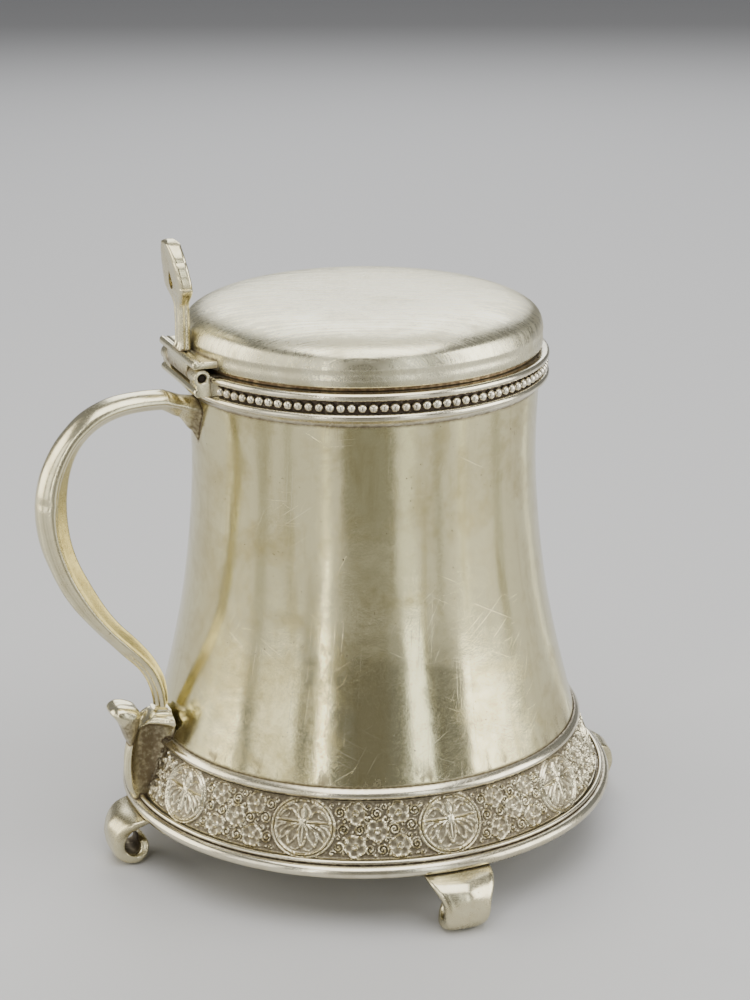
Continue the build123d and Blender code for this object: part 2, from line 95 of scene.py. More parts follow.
def smooth(points, count):
    """A natural cubic spline through the points, cut into equal steps of its length."""
    points = np.array(points, float)
    gaps = np.sqrt(np.linalg.norm(np.diff(points, axis=0), axis=1))
    knots = np.r_[0, np.cumsum(gaps)]
    size = len(points)
    system = np.eye(size)
    right = np.zeros_like(points)
    for i in range(1, size - 1):
        before, after = knots[i] - knots[i - 1], knots[i + 1] - knots[i]
        system[i, i - 1 : i + 2] = before, 2 * (before + after), after
        right[i] = 6 * ((points[i + 1] - points[i]) / after - (points[i] - points[i - 1]) / before)
    second = np.linalg.solve(system, right)
    fine = np.linspace(0, knots[-1], 40 * size)
    index = np.clip(np.searchsorted(knots, fine, side="right") - 1, 0, size - 2)
    step = (knots[index + 1] - knots[index])[:, None]
    left = (fine - knots[index])[:, None] / step
    rest = 1 - left
    curve = rest * points[index] + left * points[index + 1]
    curve += ((rest**3 - rest) * second[index] + (left**3 - left) * second[index + 1]) * step**2 / 6
    lengths = np.r_[0, np.cumsum(np.linalg.norm(np.diff(curve, axis=0), axis=1))]
    even = np.linspace(0, lengths[-1], count)
    return np.stack([np.interp(even, lengths, curve[:, k]) for k in range(points.shape[1])], -1)


def blend_values(shares, at, values):
    """Values that run smoothly from one stop to the next; at holds where the stops are."""
    at, values = np.array(at), np.array(values, float)
    index = np.clip(np.searchsorted(at, shares, side="right") - 1, 0, len(at) - 2)
    return values[index] + (values[index + 1] - values[index]) * ramp(shares, at[index], at[index + 1])


def ridge(distance, width):
    """A soft ridge: 1 on the line, falling to 0 about a width away from it."""
    return np.exp(-((distance / width) ** 2))


def ramp(value, low, high):
    """0 below low, 1 above high, smooth between them."""
    t = np.clip((value - low) / (high - low), 0, 1)
    return t * t * (3 - 2 * t)


def round_off(share):
    """1 up to a share of 0, then down along a quarter circle to 0 at a share of 1."""
    return sqrt(max(0.0, 1 - max(0.0, share) ** 2))


def soften(points, passes):
    """Smooths a closed loop of points."""
    for _ in range(passes):
        points = 0.5 * points + 0.25 * np.roll(points, 1, 0) + 0.25 * np.roll(points, -1, 0)
    return points


# ---- meshes ----


def new_object(name, data):
    """Puts a mesh, a light or a camera into the scene."""
    made = bpy.data.objects.new(name, data)
    bpy.context.scene.collection.objects.link(made)
    return made


def shade(data, sharp):
    """Shades a mesh smooth, except across edges that turn by more than an angle in degrees."""
    data.shade_smooth()
    data.set_sharp_from_angle(angle=radians(sharp))


def from_bmesh(name, made):
    data = bpy.data.meshes.new(name)
    made.to_mesh(data)
    made.free()
    return new_object(name, data)


def set_values(data, key, numbers):
    """Stores one number for each point of a mesh under a name."""
    attribute = data.attributes.get(key) or data.attributes.new(key, "FLOAT", "POINT")
    attribute.data.foreach_set("value", np.asarray(numbers, np.float32).ravel())


def mesh(name, vertices, faces, sharp=40, values=None):
    """A new object from points in millimetres. values is {attribute name: one number for each point}."""
    data = bpy.data.meshes.new(name)
    data.from_pydata((np.array(vertices, float) * MM).tolist(), [], faces)
    for key, numbers in (values or {}).items():
        set_values(data, key, numbers)
    data.validate()
    made = bmesh.new()
    made.from_mesh(data)
    bmesh.ops.recalc_face_normals(made, faces=made.faces)
    made.to_mesh(data)
    made.free()
    shade(data, sharp)
    return new_object(name, data)


def grid_faces(rows, columns, close_rows=False, close_columns=False):
    """Quads of a grid of points that is stored row by row."""
    faces = []
    for i in range(rows if close_rows else rows - 1):
        for j in range(columns if close_columns else columns - 1):
            down, across = (i + 1) % rows, (j + 1) % columns
            faces.append((i * columns + j, down * columns + j, down * columns + across, i * columns + across))
    return faces


def lathe(name, profile, columns=360, span=None, wobble=0.0, sharp=40):
    """A turned piece from a closed outline of (radius, height). span is the part of the circle it takes."""
    profile = np.array(profile, float)
    rows = len(profile)
    start, end = span or (0, 360)
    whole = span is None
    angles = np.radians(np.linspace(start, end, columns + (0 if whole else 1), endpoint=not whole))
    vertices = []
    for angle in angles:
        for radius, height in profile:
            if wobble:
                spot = Vector((cos(angle) * 1.6, sin(angle) * 1.6, height * 0.03))
                radius = radius + wobble * noise.noise(spot)
            vertices.append((radius * cos(angle), radius * sin(angle), height))
    faces = grid_faces(len(angles), rows, close_rows=whole, close_columns=True)
    if not whole:
        faces.append(tuple(range(rows)))
        faces.append(tuple(range((len(angles) - 1) * rows, len(angles) * rows)))
    return mesh(name, vertices, faces, sharp)


def loft(name, loops, sharp=40, values=None):
    """A closed skin over loops of points that all have the same count, capped at both ends."""
    loops = np.array(loops, float)
    count, size = loops.shape[:2]
    faces = grid_faces(count, size, close_columns=True)
    vertices = loops.reshape(-1, 3).tolist()
    faces.append(tuple(range(size)))
    faces.append(tuple(range((count - 1) * size, count * size)))
    return mesh(name, vertices, faces, sharp, values=values)


def slab(name, outline, plane, low, high, bevel):
    """An outline pulled through a thickness, with rounded edges. plane maps (a, b, depth) to a point."""
    made = bmesh.new()
    ends = [[made.verts.new(Vector(plane(a, b, depth)) * MM) for a, b in outline] for depth in (low, high)]
    caps = [made.faces.new(end) for end in ends]
    for i in range(len(outline)):
        after = (i + 1) % len(outline)
        made.faces.new((ends[0][i], ends[0][after], ends[1][after], ends[1][i]))
    bmesh.ops.recalc_face_normals(made, faces=made.faces)
    if bevel:
        edges = [edge for cap in caps for edge in cap.edges]
        rounding = {"offset": bevel * MM, "segments": 3, "profile": 0.5, "clamp_overlap": True}
        bmesh.ops.bevel(made, geom=edges, affect="EDGES", **rounding)
    bmesh.ops.triangulate(made, faces=[face for face in made.faces if len(face.verts) > 4])
    piece = from_bmesh(name, made)
    shade(piece.data, 35)
    return piece


def join(name, pieces):
    """Puts several new pieces into one."""
    made = bmesh.new()
    for piece in pieces:
        made.from_mesh(piece.data)
        data = piece.data
        bpy.data.objects.remove(piece)
        bpy.data.meshes.remove(data)
    return from_bmesh(name, made)


def place(piece, body, node, finish):
    """Gives a piece its finish and its body, and hides the CAD node that it stands for."""
    piece.data.materials.clear()
    piece.data.materials.append(finish)
    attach(piece, body)
    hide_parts(node)
    return piece


# ---- spun body ----

shoulder_z = moulding_high[2]
neck_z = lower_wire_low[2]
lip_z = upper_wire_high[2]
neck = rim_radius - 2.45
wall = 1.2
waist = [
    (moulding_high[0] - 1.65, shoulder_z),
    (50.15, shoulder_z + 9.5),
    (46.0, shoulder_z + 28.1),
    (43.2, shoulder_z + 48.6),
    (42.1, shoulder_z + 67.0),
    (neck, neck_z),
]
waist_line = smooth(waist, 150)


def cling(points, depth=0.5):
    """Pushes points that lie inside the vessel out to just under its surface."""
    points = np.array(points, float)
    radius = np.hypot(points[..., 0], points[..., 1])
    height = points[..., 2]
    base = np.interp(height, [band_low[2], band_high[2]], [flange_radius - 2.8, moulding_high[0] - 0.3])
    waist_radius = np.interp(height, waist_line[:, 1], waist_line[:, 0])
    least = np.where(height < shoulder_z, base, waist_radius) - depth
    grow = np.maximum(least / np.maximum(radius, 1e-6), 1.0)
    points[..., 0] *= grow
    points[..., 1] *= grow
    return points


def make_wall():
    outside = [(band_high[0] - 7.6, band_low[2] + 0.1), (moulding_high[0] - 1.6, moulding_low[2])]
    lip = arc((neck - wall / 2, lip_z - wall / 2), wall / 2, 0, 180, 9)
    straight = [(neck, neck_z + step) for step in (1.0, 3.0, 5.0)]
    inside = [(radius - wall, height) for radius, height in waist_line[::-1]]
    foot = [(moulding_high[0] - 2.9, moulding_low[2]), (band_high[0] - 8.8, band_low[2] + 0.1)]
    return lathe("wall", [*outside, *waist_line, *straight, *lip, *inside, *foot], 480, wobble=0.07)


def make_floor():
    top = band_low[2] + 3.4
    inner = band_high[0] - 2.55 - 2.5
    profile = [(0.01, top), (46.6, top), (47.2, top - 0.1), (49.8, top - 0.8), (50.4, top - 0.9)]
    profile += [(inner - 0.8, top - 0.9), (inner - 0.2, top - 1.2), (inner, top - 2.0)]
    profile += [(inner + 0.8, top - 3.3), (inner - 0.4, top - 3.3), (inner - 1.4, top - 2.1)]
    profile += [(49.5, top - 2.1), (46.5, top - 1.2), (0.01, top - 1.2)]
    return lathe("floor", profile, 240)


# ---- base ----


def make_flange():
    round_r = (flange_high[2] - flange_low[2]) / 2
    edge = arc((flange_radius - round_r, flange_low[2] + round_r), round_r, -90, 90, 15)
    bore = 55.2
    top = flange_high[2]
    groove = [(flange_radius - 2.0, top), (flange_radius - 2.3, top - 0.15), (bore + 1.5, top - 0.15)]
    foot = [(bore, top - 1.5), (bore + 1.0, flange_low[2])]
    return lathe("flange", [*edge, *groove, *foot], 540, wobble=0.12)


def make_wire():
    low, high = node_box("base_wire")
    radius = (high[2] - low[2]) / 2
    return lathe("wire", arc((high[0] - radius, low[2] + radius), radius, 0, 340, 12), 540, wobble=0.08)


def make_top_moulding():
    outer = moulding_high[0]
    low, high = moulding_low[2], moulding_high[2]
    inner = outer - 1.5
    bulge = [(outer - 0.5, low), (outer, low + 0.9), (outer - 0.35, low + 1.75), (inner + 0.3, high)]
    return lathe("base_moulding", [*smooth(bulge, 13), (inner, high), (inner, low)], 540, wobble=0.06)


medallion_count = 10
pitch = 360 / medallion_count
columns, rows = 150, 64  # points of one sector of the relief, round the band and up it
relief = 0.8  # from the lowest to the highest point of the ornament
medallion_reach = 7.35  # half of a medallion's height
medallion_stretch = 1.09  # it is a little wider than high
band_flare = 5.3  # the band's foot is this much wider than its head
band_slant = hypot(band_flare, band_high[2] - band_low[2])


def stroke(x, y, points, width):
    """Height of a rounded cord that is laid along a smooth line through the points."""
    line = smooth(points, 14 * len(points))
    distance = np.full(x.shape, 1e9)
    for a, b in zip(line, line[1:]):
        along = b - a
        share = ((x - a[0]) * along[0] + (y - a[1]) * along[1]) / max(along @ along, 1e-9)
        share = np.clip(share, 0, 1)
        distance = np.minimum(distance, np.hypot(x - a[0] - share * along[0], y - a[1] - share * along[1]))
    return ridge(distance, width)


def flower(x, y, radius, turn):
    """A five-petalled flower with a raised rim and a raised eye. Gives its height and its cover."""
    distance = np.hypot(x, y)
    angle = np.arctan2(y, x) - turn
    edge = distance - radius * (0.8 + 0.2 * np.abs(np.cos(5 * angle / 2)) ** 0.6)
    rim = ridge(edge + 0.2, 0.24)
    clefts = np.abs(np.sin(2.5 * angle)) ** 6
    petals = 0.3 + 0.2 * clefts * ramp(distance, 0.6, 1.4) - 0.14 * ramp(-edge, 0.3, 0.8)
    centre = 0.95 * ridge(distance - 0.62, 0.24) + 0.5 * ridge(distance, 0.25)
    return np.maximum(np.maximum(rim, petals), centre), ramp(-edge, -0.25, 0.05)


def curl(x, y, radius, hand, turn):
    """A small spiral scroll."""
    distance = np.hypot(x, y)
    wave = distance / 0.74 - hand * (np.arctan2(y, x) - turn) / (2 * pi)
    arms = 0.5 + 0.5 * np.cos(2 * pi * wave)
    inside = ramp(radius - distance, -0.12, 0.2)
    return 0.85 * arms**1.3 * inside, inside


def medallion(x, y):
    """A ring round a bud on a crossing bar, with leaves above it and a spray of leaves below."""
    x = x / medallion_stretch
    distance = np.hypot(x, y)
    ring = 0.85 * ridge(distance - medallion_reach + 0.3, 0.26)
    line = ridge(distance - medallion_reach + 1.1, 0.27)
    x, y = x / 1.07, y / 1.07
    # points, width and height of each stroke: those on the middle line, and those that are mirrored
    middle = [
        ([(-5.5, 1.15), (0, 1.2), (5.5, 1.15)], 0.22, 0.9),
        ([(-5.6, 0.55), (-2, 0.7), (2, 0.7), (5.6, 0.55)], 0.16, 0.5),
        ([(0, 5.0), (-1.3, 3.4), (-1.0, 2.0), (0, 1.3), (1.0, 2.0), (1.3, 3.4), (0, 5.0)], 0.24, 0.95),
        ([(0, 4.4), (0.1, 3.2), (0, 1.6)], 0.3, 0.7),
        ([(0, 1.0), (-0.9, -0.8), (-0.7, -2.6), (0, -4.2), (0.7, -2.6), (0.9, -0.8), (0, 1.0)], 0.24, 0.95),
        ([(0, 0.6), (0, -3.2)], 0.24, 0.55),
    ]
    right = [
        ([(5.0, 2.0), (3.6, 3.5), (2.2, 3.3), (1.5, 2.3)], 0.24, 0.85),
        ([(3.4, 4.3), (2.3, 4.9), (1.3, 4.2)], 0.2, 0.7),
        ([(0.4, 0.9), (1.9, -0.3), (3.0, -2.0), (2.7, -4.0)], 0.24, 0.9),
        ([(2.7, -4.0), (1.4, -2.4), (0.9, -0.8)], 0.2, 0.75),
        ([(1.6, 0.6), (3.6, -0.4), (4.6, -1.9), (4.5, -3.0)], 0.24, 0.85),
        ([(4.5, -3.0), (3.7, -2.3), (3.1, -1.2)], 0.18, 0.7),
        ([(3.8, 0.4), (5.0, -0.2), (5.4, -1.0)], 0.2, 0.7),
        ([(2.1, -4.6), (1.4, -5.0), (0.6, -4.6)], 0.18, 0.6),
        ([(3.9, 1.9), (3.3, 2.2), (3.2, 2.7)], 0.16, 0.5),
    ]
    left = [([(-a, b) for a, b in points], width, tall) for points, width, tall in right]
    height = np.maximum(np.maximum(ring, line), 0.2 * ramp(medallion_reach - 1.0 - distance, 0, 0.4))
    for points, width, tall in middle + right + left:
        height = np.maximum(height, (0.2 + 0.8 * tall) * stroke(x, y, points, 0.9 * width))
    bud = 0.5 * ramp(1.05 - np.hypot(x * 1.1, (y - 3.0) * 0.62), 0, 0.5)
    height = np.maximum(height, bud * (1 - 0.6 * ridge(np.hypot(x, y - 3.3), 0.3)))
    return height, ramp(medallion_reach - distance, -0.05, 0.1)


def ornament():
    """Height of one sector of the relief, from 0 to about 1: a medallion between half flower groups."""
    middle = (band_high[0] + band_high[0] - band_flare) / 2
    width = np.radians(pitch) * middle
    along = np.radians((np.arange(columns) + 0.5) / columns * pitch - pitch / 2) * middle
    up = (np.linspace(0, 1, rows) - 0.5) * band_slant
    x, y = np.meshgrid(along, up, indexing="ij")
    y = y - 0.3
    # what is drawn, where its middle is and how far it reaches
    marks = [(medallion, 0.0, 0.0, medallion_reach * medallion_stretch)]
    flowers = [(0, -0.2)] + [(side * 5.2, rise * 3.85) for side in (-1, 1) for rise in (-1, 1)]
    for spot_x, spot_y in flowers:
        draw = partial(flower, radius=2.75, turn=spot_x * 2 + spot_y)
        marks.append((draw, spot_x + width / 2, spot_y, 2.45))
    # spirals fill what is left, the large ones first
    rng = np.random.default_rng(11)
    for tries in range(1, 9001):
        radius = max(0.5, 1.5 - 0.25 * (tries // 1500))
        spot_x, spot_y = rng.uniform(6, width - 6), rng.uniform(-6.4 + radius, 6.4 - radius)
        gaps = []
        for _, mark_x, mark_y, mark_r in marks:
            gap = abs(spot_x - mark_x)
            gaps.append(hypot(min(gap, width - gap), spot_y - mark_y) - mark_r - radius)
        if min(gaps) >= -0.16:
            draw = partial(curl, radius=radius, hand=rng.choice([-1, 1]), turn=rng.uniform(0, 2 * pi))
            marks.append((draw, spot_x, spot_y, radius))
    height = np.zeros_like(x)
    taken = np.zeros_like(x)
    for draw, mark_x, mark_y, _ in marks:
        shift = (x - mark_x + width / 2) % width - width / 2
        tall, cover = draw(shift, y - mark_y)
        height = np.where(cover > taken, tall * cover + height * (1 - cover), height)
        taken = np.maximum(taken, cover)
    ground = 0.2 * (0.5 + 0.5 * np.sin(5.1 * x + 1.7 * y) * np.sin(4.3 * y - 1.1 * x))
    height = np.maximum(height, ground * (1 - taken))
    # a line and a plain edge above and below; the medallions run over them
    edges = 0.7 * ridge(np.abs(y) - 6.72, 0.2)
    plain = 0.3 * ramp(np.abs(y) - 6.85, 0, 0.2)
    over = ramp(medallion_reach - np.hypot(x / medallion_stretch, y), -0.05, 0.1)
    inside = np.maximum(ramp(6.5 - np.abs(y), -0.12, 0.12), over)
    return height * inside + np.maximum(edges, plain) * (1 - inside)


def make_band():
    """The relief band: one skin whose radius follows the ornament, closed by a plain back."""
    height = ornament()
    share = np.linspace(0, 1, rows)
    low, high = band_low[2], band_high[2]
    base = band_high[0] - 0.35 - band_flare * share
    level = low + (high - low) * share
    lean = atan2(band_flare, high - low)
    strip = 1.2  # thickness of the band
    angles = np.radians((np.arange(columns * medallion_count) + 0.5) / columns * pitch)
    vertices, depths = [], []
    for index, angle in enumerate(angles):
        column = height[index % columns]
        lift = relief * (column - 0.55)
        radius = np.r_[base + lift * cos(lean), base[-1] - strip, base[0] - strip]
        z = np.r_[np.clip(level + lift * sin(lean), low, high), high, low]
        vertices += np.stack([radius * cos(angle), radius * sin(angle), z], -1).tolist()
        depths += [*column.tolist(), 0.3, 0.3]
    faces = grid_faces(len(angles), rows + 2, close_rows=True, close_columns=True)
    return mesh("relief_band", vertices, faces, sharp=75, values={"height": depths})


# ---- rim ----

# The upper wire and the beads stop at each end of the hinge.
slot_half = hinge_half + 0.15
wire_height = 1.8
rim_bore = neck + 0.03  # inside of everything that is soldered round the mouth


def half_round(foot):
    """The outer edge of a wire at the mouth."""
    radius = wire_height / 2
    return arc((rim_radius - radius, foot + radius), radius, -90, 90, 15)


def make_lower_wire():
    low, high = lower_wire_low[2], lower_wire_high[2]
    shoulder = high - wire_height
    cove = smooth([(neck + 0.35, low), (neck + 0.75, low + 0.7), (rim_radius - 1.1, shoulder)], 9)
    profile = [*cove, *half_round(shoulder), (rim_bore, high), (rim_bore, low)]
    return lathe("rim_lower", profile, 480, wobble=0.05)


def make_upper_wire():
    low, high = upper_wire_low[2], upper_wire_high[2]
    gap = degrees(atan2(slot_half, rim_radius - 1))
    profile = [*half_round(low), (rim_bore, high), (rim_bore, low)]
    return lathe("rim_upper", profile, 440, span=(-180 + gap, 180 - gap), wobble=0.05)


def make_beads():
    """A channel strip with a row of slightly uneven beads in it; they stop at each end of the hinge."""
    low, high = bead_low[2], bead_high[2]
    strip = neck + 0.75
    gap = degrees(atan2(slot_half, strip))
    profile = [(rim_bore, low), (strip, low), (strip, high), (rim_bore, high)]
    channel = lathe("strip", profile, 360, span=(-180 + gap, 180 - gap))
    bead_count, bead_r = 112, 1.15
    ring, level = strip + 0.45, (low + high) / 2 - 0.1
    last = degrees(atan2(slot_half + bead_r, ring))
    made = bmesh.new()
    rng = np.random.default_rng(4)
    for index in range(bead_count):
        angle = 360 * (index + 0.5) / bead_count
        if abs(angle - 180) < last:
            continue
        turn = radians(angle)
        radius = bead_r * rng.uniform(0.93, 1.0)
        x = (ring - rng.uniform(0, 0.12)) * cos(turn)
        spot = Vector((x, ring * sin(turn), level + rng.uniform(-0.06, 0.06)))
        at = Matrix.Translation(spot * MM) @ Matrix.Rotation(turn, 4, "Z")
        at = at @ Matrix.Diagonal((1.0, rng.uniform(0.94, 1.04), 1.0, 1.0))
        bmesh.ops.create_uvsphere(made, u_segments=20, v_segments=12, radius=radius * MM, matrix=at)
    beads = from_bmesh("beads", made)
    beads.data.shade_smooth()
    piece = join("rim_beads", [channel, beads])
    out = np.array([hypot(vertex.co.x, vertex.co.y) / MM for vertex in piece.data.vertices])
    # dirt and painted shade down in the channel between the beads
    set_values(piece.data, "sunk", 1 - ramp(out, ring - 0.1, ring + 0.55))
    return piece


# ---- feet ----


def superellipse(count, power):
    """Corners of a rounded square from -1 to 1, anticlockwise."""
    angles = (np.arange(count) + 0.5) / count * 2 * pi
    c, s = np.cos(angles), np.sin(angles)
    size = (np.abs(c) ** power + np.abs(s) ** power) ** (-1 / power)
    return c * size, s * size


foot_top = flange_low[2]

# The strap of a foot seen from its side, as (distance from the vessel's axis, height): its outer face from
# the flange down and round into the open roll, and its inner face.
scroll_outside = [(61.8, foot_top), (66.1, 11.2), (68.5, 5.6), (66.9, 1.5)]
scroll_outside += [(63.4, -0.1), (59.9, 1.2), (58.7, 4.2), (59.9, 6.6)]
scroll_inside = [(56.8, foot_top - 0.6), (60.6, 10.9), (64.2, 8.6), (65.5, 5.7), (64.8, 3.9)]
scroll_inside += [(63.4, 3.2), (62.0, 3.6), (61.5, 4.7), (61.8, 5.9)]


def make_foot(name, angle, seed):
    """A strap that leaves the flange, widened and ribbed at its head, and rolls up under it."""
    stations = 110
    outer, inner = smooth(scroll_outside, stations), smooth(scroll_inside, stations)
    across, deep = superellipse(56, 4.2)
    side, front = Vector((-sin(angle), cos(angle), 0)), Vector((cos(angle), sin(angle), 0))
    lean = np.random.default_rng(seed).uniform(-0.25, 0.25)
    limit = node_box("foot_front")[1][0]
    loops, dirt_and_shade = [], []
    for i, share in enumerate(np.linspace(0, 1, stations)):
        flare = ramp(outer[i][1], 6.0, foot_top + 0.6) if share < 0.45 else 0.0
        half = 5.8 + 2.45 * flare - 0.35 * ramp(share, 0.35, 0.6) - 1.9 * ramp(share, 0.72, 1.0)
        middle, reach = (outer[i] + inner[i]) / 2, (outer[i] - inner[i]) / 2
        keel = 1.3 * ramp(share, 0.02, 0.12) * (1 - ramp(share, 0.2, 0.38))
        rib = 0.55 * ramp(share, 0.02, 0.1) * (1 - ramp(share, 0.34, 0.46))
        tip = round_off((share - 0.955) / 0.045) * 0.97 + 0.03
        loop = []
        for s, d in zip(across, deep):
            swell = keel * (1 - abs(s) ** 0.9) + rib * ridge(abs(s) - 0.88, 0.13) if d > 0 else 0.0
            spot = middle + reach * d * tip * (1 + swell / max(np.linalg.norm(reach), 0.5))
            edge = spot - reach * d * 0.14 * abs(s) ** 3
            point = front * min(edge[0], limit) + side * (s * half * tip + lean * ramp(share, 0, 0.4))
            loop.append((point.x, point.y, max(edge[1], 0.0)))
            # painted shade and dirt on the strap's inner face, under the roll, from its head down
            dirt_and_shade.append(ramp(-d, 0.55, 0.95) * ramp(share, 0.1, 0.25))
        loops.append(loop)
    return loft(name, loops, sharp=50, values={"sunk": dirt_and_shade})


# ---- handle ----

handle_low = node_box("handle")[0]
socket_high = node_box("handle_socket")[1]
handle_reach = -handle_low[0] - 5.5
spine = [
    (neck + 7.0, neck_z - 0.4),
    (64.5, neck_z - 1.7),
    (handle_reach + 0.02, 101.5),
    (handle_reach + 0.1, 81.8),
    (66.0, 61.3),
    (55.0, 47.6),
    (53.5, handle_low[2] + 0.2),
]


def spine_frame(points, count):
    """Points along a curve in the plane of the handle, with the direction towards its hollow side."""
    lead = np.array(points[0]) - (0.6, 0.07)
    line = smooth([lead, *points, np.array(points[-1]) - (0, 0.6)], count + 6)[3:-3]
    along = np.gradient(line, axis=0)
    along /= np.linalg.norm(along, axis=1)[:, None]
    inward = np.stack([along[:, 1], -along[:, 0]], -1)
    return line, inward


def handle_section(width, back, belly, flute, waist=1.0):
    """One section: a broad rounded back, a crease at each side and a keeled belly. y points to the belly."""
    half = width / 2
    points = []
    for t in np.linspace(-1, 1, 41)[1:-1]:
        depth = -back * (1 - abs(t) ** 2) ** 0.58
        depth += flute * back * (ridge(abs(t) - 0.42, 0.17) - 0.25 * ridge(t, 0.2))
        points.append((t * half * 0.985, depth - 0.12))
    side = [(half, -0.05), (half, 0.22), (half * 0.93, 0.5)]
    points += side
    for t in np.linspace(0.86, -0.86, 31):
        depth = belly * (1 - abs(t) ** 1.25 / 0.9) ** 0.9 if abs(t) < 0.86 else 0.55
        points.append((t * half, max(depth, 0.5) - 0.35 * belly * abs(t) * (1 - abs(t)) * waist))
    points += [(-x, y) for x, y in side[::-1]]
    return soften(np.array(points), 5)


def make_handle():
    """The grip: it swells in the middle, gets flutes below and has a small dent at its back."""
    count = 260
    line, inward = spine_frame(spine, count)
    share = np.linspace(0, 1, count)
    stops = (0, 0.2, 0.42, 0.6, 0.8, 0.93, 1)
    width = blend_values(share, stops, (8.2, 8.8, 9.6, 8.8, 7.0, 6.0, 5.8))
    back = blend_values(share, stops, (2.3, 2.5, 3.6, 3.2, 2.3, 2.0, 1.8))
    belly = blend_values(share, stops, (2.6, 3.0, 4.2, 3.8, 2.8, 2.2, 1.8))
    flute = 0.6 * ramp(share, 0.7, 0.88)
    loops = []
    for i in range(count):
        loop = []
        for x, y in handle_section(width[i], back[i], belly[i], flute[i]):
            spot = line[i] + inward[i] * y
            wave = 0.09 * noise.noise(Vector((spot[0] * 0.16, x * 0.3, spot[1] * 0.16)))
            dent = 0.25 * ridge(share[i] - 0.395, 0.009) * ridge((x + 3.6) / 10, 0.16) if y < 0.6 else 0
            spot = line[i] + inward[i] * (y + wave + dent)
            loop.append((-spot[0], x, spot[1]))
        loops.append(loop)
    return loft("handle_grip", cling(loops, 0.35), sharp=60)


def make_socket():
    """The handle's upper root: it widens to a leaf that lies on the wall and ends in a point below."""
    count = 60
    share = np.linspace(0, 1, count)
    root = np.array(spine[0]) + (1.3, 0.15)
    line = smooth([root, (46.1, neck_z - 1.7), (neck - 0.6, neck_z - 3.5)], count)
    width = blend_values(share, (0, 0.35, 0.75, 1), (8.2, 8.3, 9.3, 10.2))
    back = blend_values(share, (0, 0.5, 1), (2.3, 2.0, 3.0))
    belly = blend_values(share, (0, 0.45, 0.8, 1), (2.6, 3.6, 6.4, 9.0))
    loops, dirt_and_shade = [], []
    for i in range(count):
        down = np.array((0.116 * (1 - share[i]), -1.0))
        inner = 0.985 + 0.015 * ramp(share[i], 0.04, 0.12)
        section = handle_section(width[i], back[i], belly[i], 0.0, 1 + 0.8 * share[i]) * inner
        loop = []
        for x, y in soften(section, int(8 * ramp(share[i], 0.3, 0.9))):
            spot = line[i] + down * y
            pit = 0.28 * noise.noise(Vector((spot[0] * 0.5, x * 0.5, spot[1] * 0.5))) * share[i]
            z = min(spot[1] + pit * 0.4, socket_high[2])
            loop.append((-(spot[0] + pit * 0.5), x * (1 + 0.03 * pit), z))
            # dirt and painted shade darken the root towards the wall that it meets
            dirt_and_shade.append(ramp(share[i], 0.4, 0.85) * (0.75 + 0.5 * pit))
        loops.append(loop)
    return loft("handle_root", cling(loops, 0.4), sharp=60, values={"sunk": dirt_and_shade})


# ---- lower root: bracket and leaf ----

bracket_low, bracket_high = node_box("handle_bracket")
bracket_leaf_low, bracket_leaf_high = node_box("handle_leaf")


def hump(s, start, span, power):
    """Rises from 0 to 1 and falls back over a span."""
    return sin(pi * min(1.0, max(0.0, (s - start) / span))) ** power


def make_bracket():
    """A rounded spine with a dished panel on each side, under a rolled arch and a hood to the handle."""
    low, high = bracket_low[2] - 0.1, bracket_high[2] - 2.2
    levels, hood_levels, depth_count = 90, 16, 42
    nose_line = [(61.9, low), (63.4, low + 4.5), (62.9, low + 14.5), (60.8, low + 20), (59.6, high)]
    nose_line = smooth(nose_line, 200)
    loops, dirt_and_shade = [], []
    for level in range(levels + hood_levels):
        t = min(1.0, level / (levels - 1))
        hood = max(0, level - levels + 1) / hood_levels
        z = low + (high - low) * t
        flow = 1 - (1 - hood) ** 2.2
        nose = np.interp(z, nose_line[:, 1], nose_line[:, 0]) - 3.6 * flow
        z += (bracket_high[2] - high) * hood
        nose_half = 2.0 - 0.2 * t
        wall_half = (2.1 + 4.2 * t**1.6) * (1 - flow) + 3.2 * flow
        dish = (0.4 + 2.4 * ramp(t, 0.0, 0.8)) * (1 - ramp(t, 0.86, 0.95))
        rim = 0.6 * ridge(t - 0.95, 0.05) * (1 - ramp(hood, 0, 0.5))
        near, marks = [], []
        for s in np.linspace(0, 1, depth_count):
            half = nose_half + (wall_half - nose_half) * s**1.15 - dish * hump(s, 0.1, 0.86, 0.9)
            half = max(half, 0.8) + rim + 0.4 * ridge(s - 0.97, 0.06)
            half += 0.35 * ridge(s - 0.1, 0.07) * ramp(t, 0.1, 0.3)
            half *= round_off((0.1 - s) / 0.1) * 0.92 + 0.08
            arch = 0.9 - 3.2 * max(0.0, 1 - s / 0.42) ** 2 - 0.9 * max(0.0, s - 0.55)
            arch *= ramp(t, 0.5, 1.0) * (1 - ramp(flow, 0.1, 1.0))
            near.append((-(nose - (nose - 52.0) * s), half, min(z + arch, bracket_high[2])))
            marks.append(hump(s, 0.12, 0.84, 0.4) * (1 - ramp(t, 0.86, 0.93)))
        loops.append(near + [(x, -y, z) for x, y, z in near[::-1]])
        dirt_and_shade += marks + marks[::-1]
    return loft("bracket", cling(loops, 0.4), sharp=55, values={"sunk": dirt_and_shade})


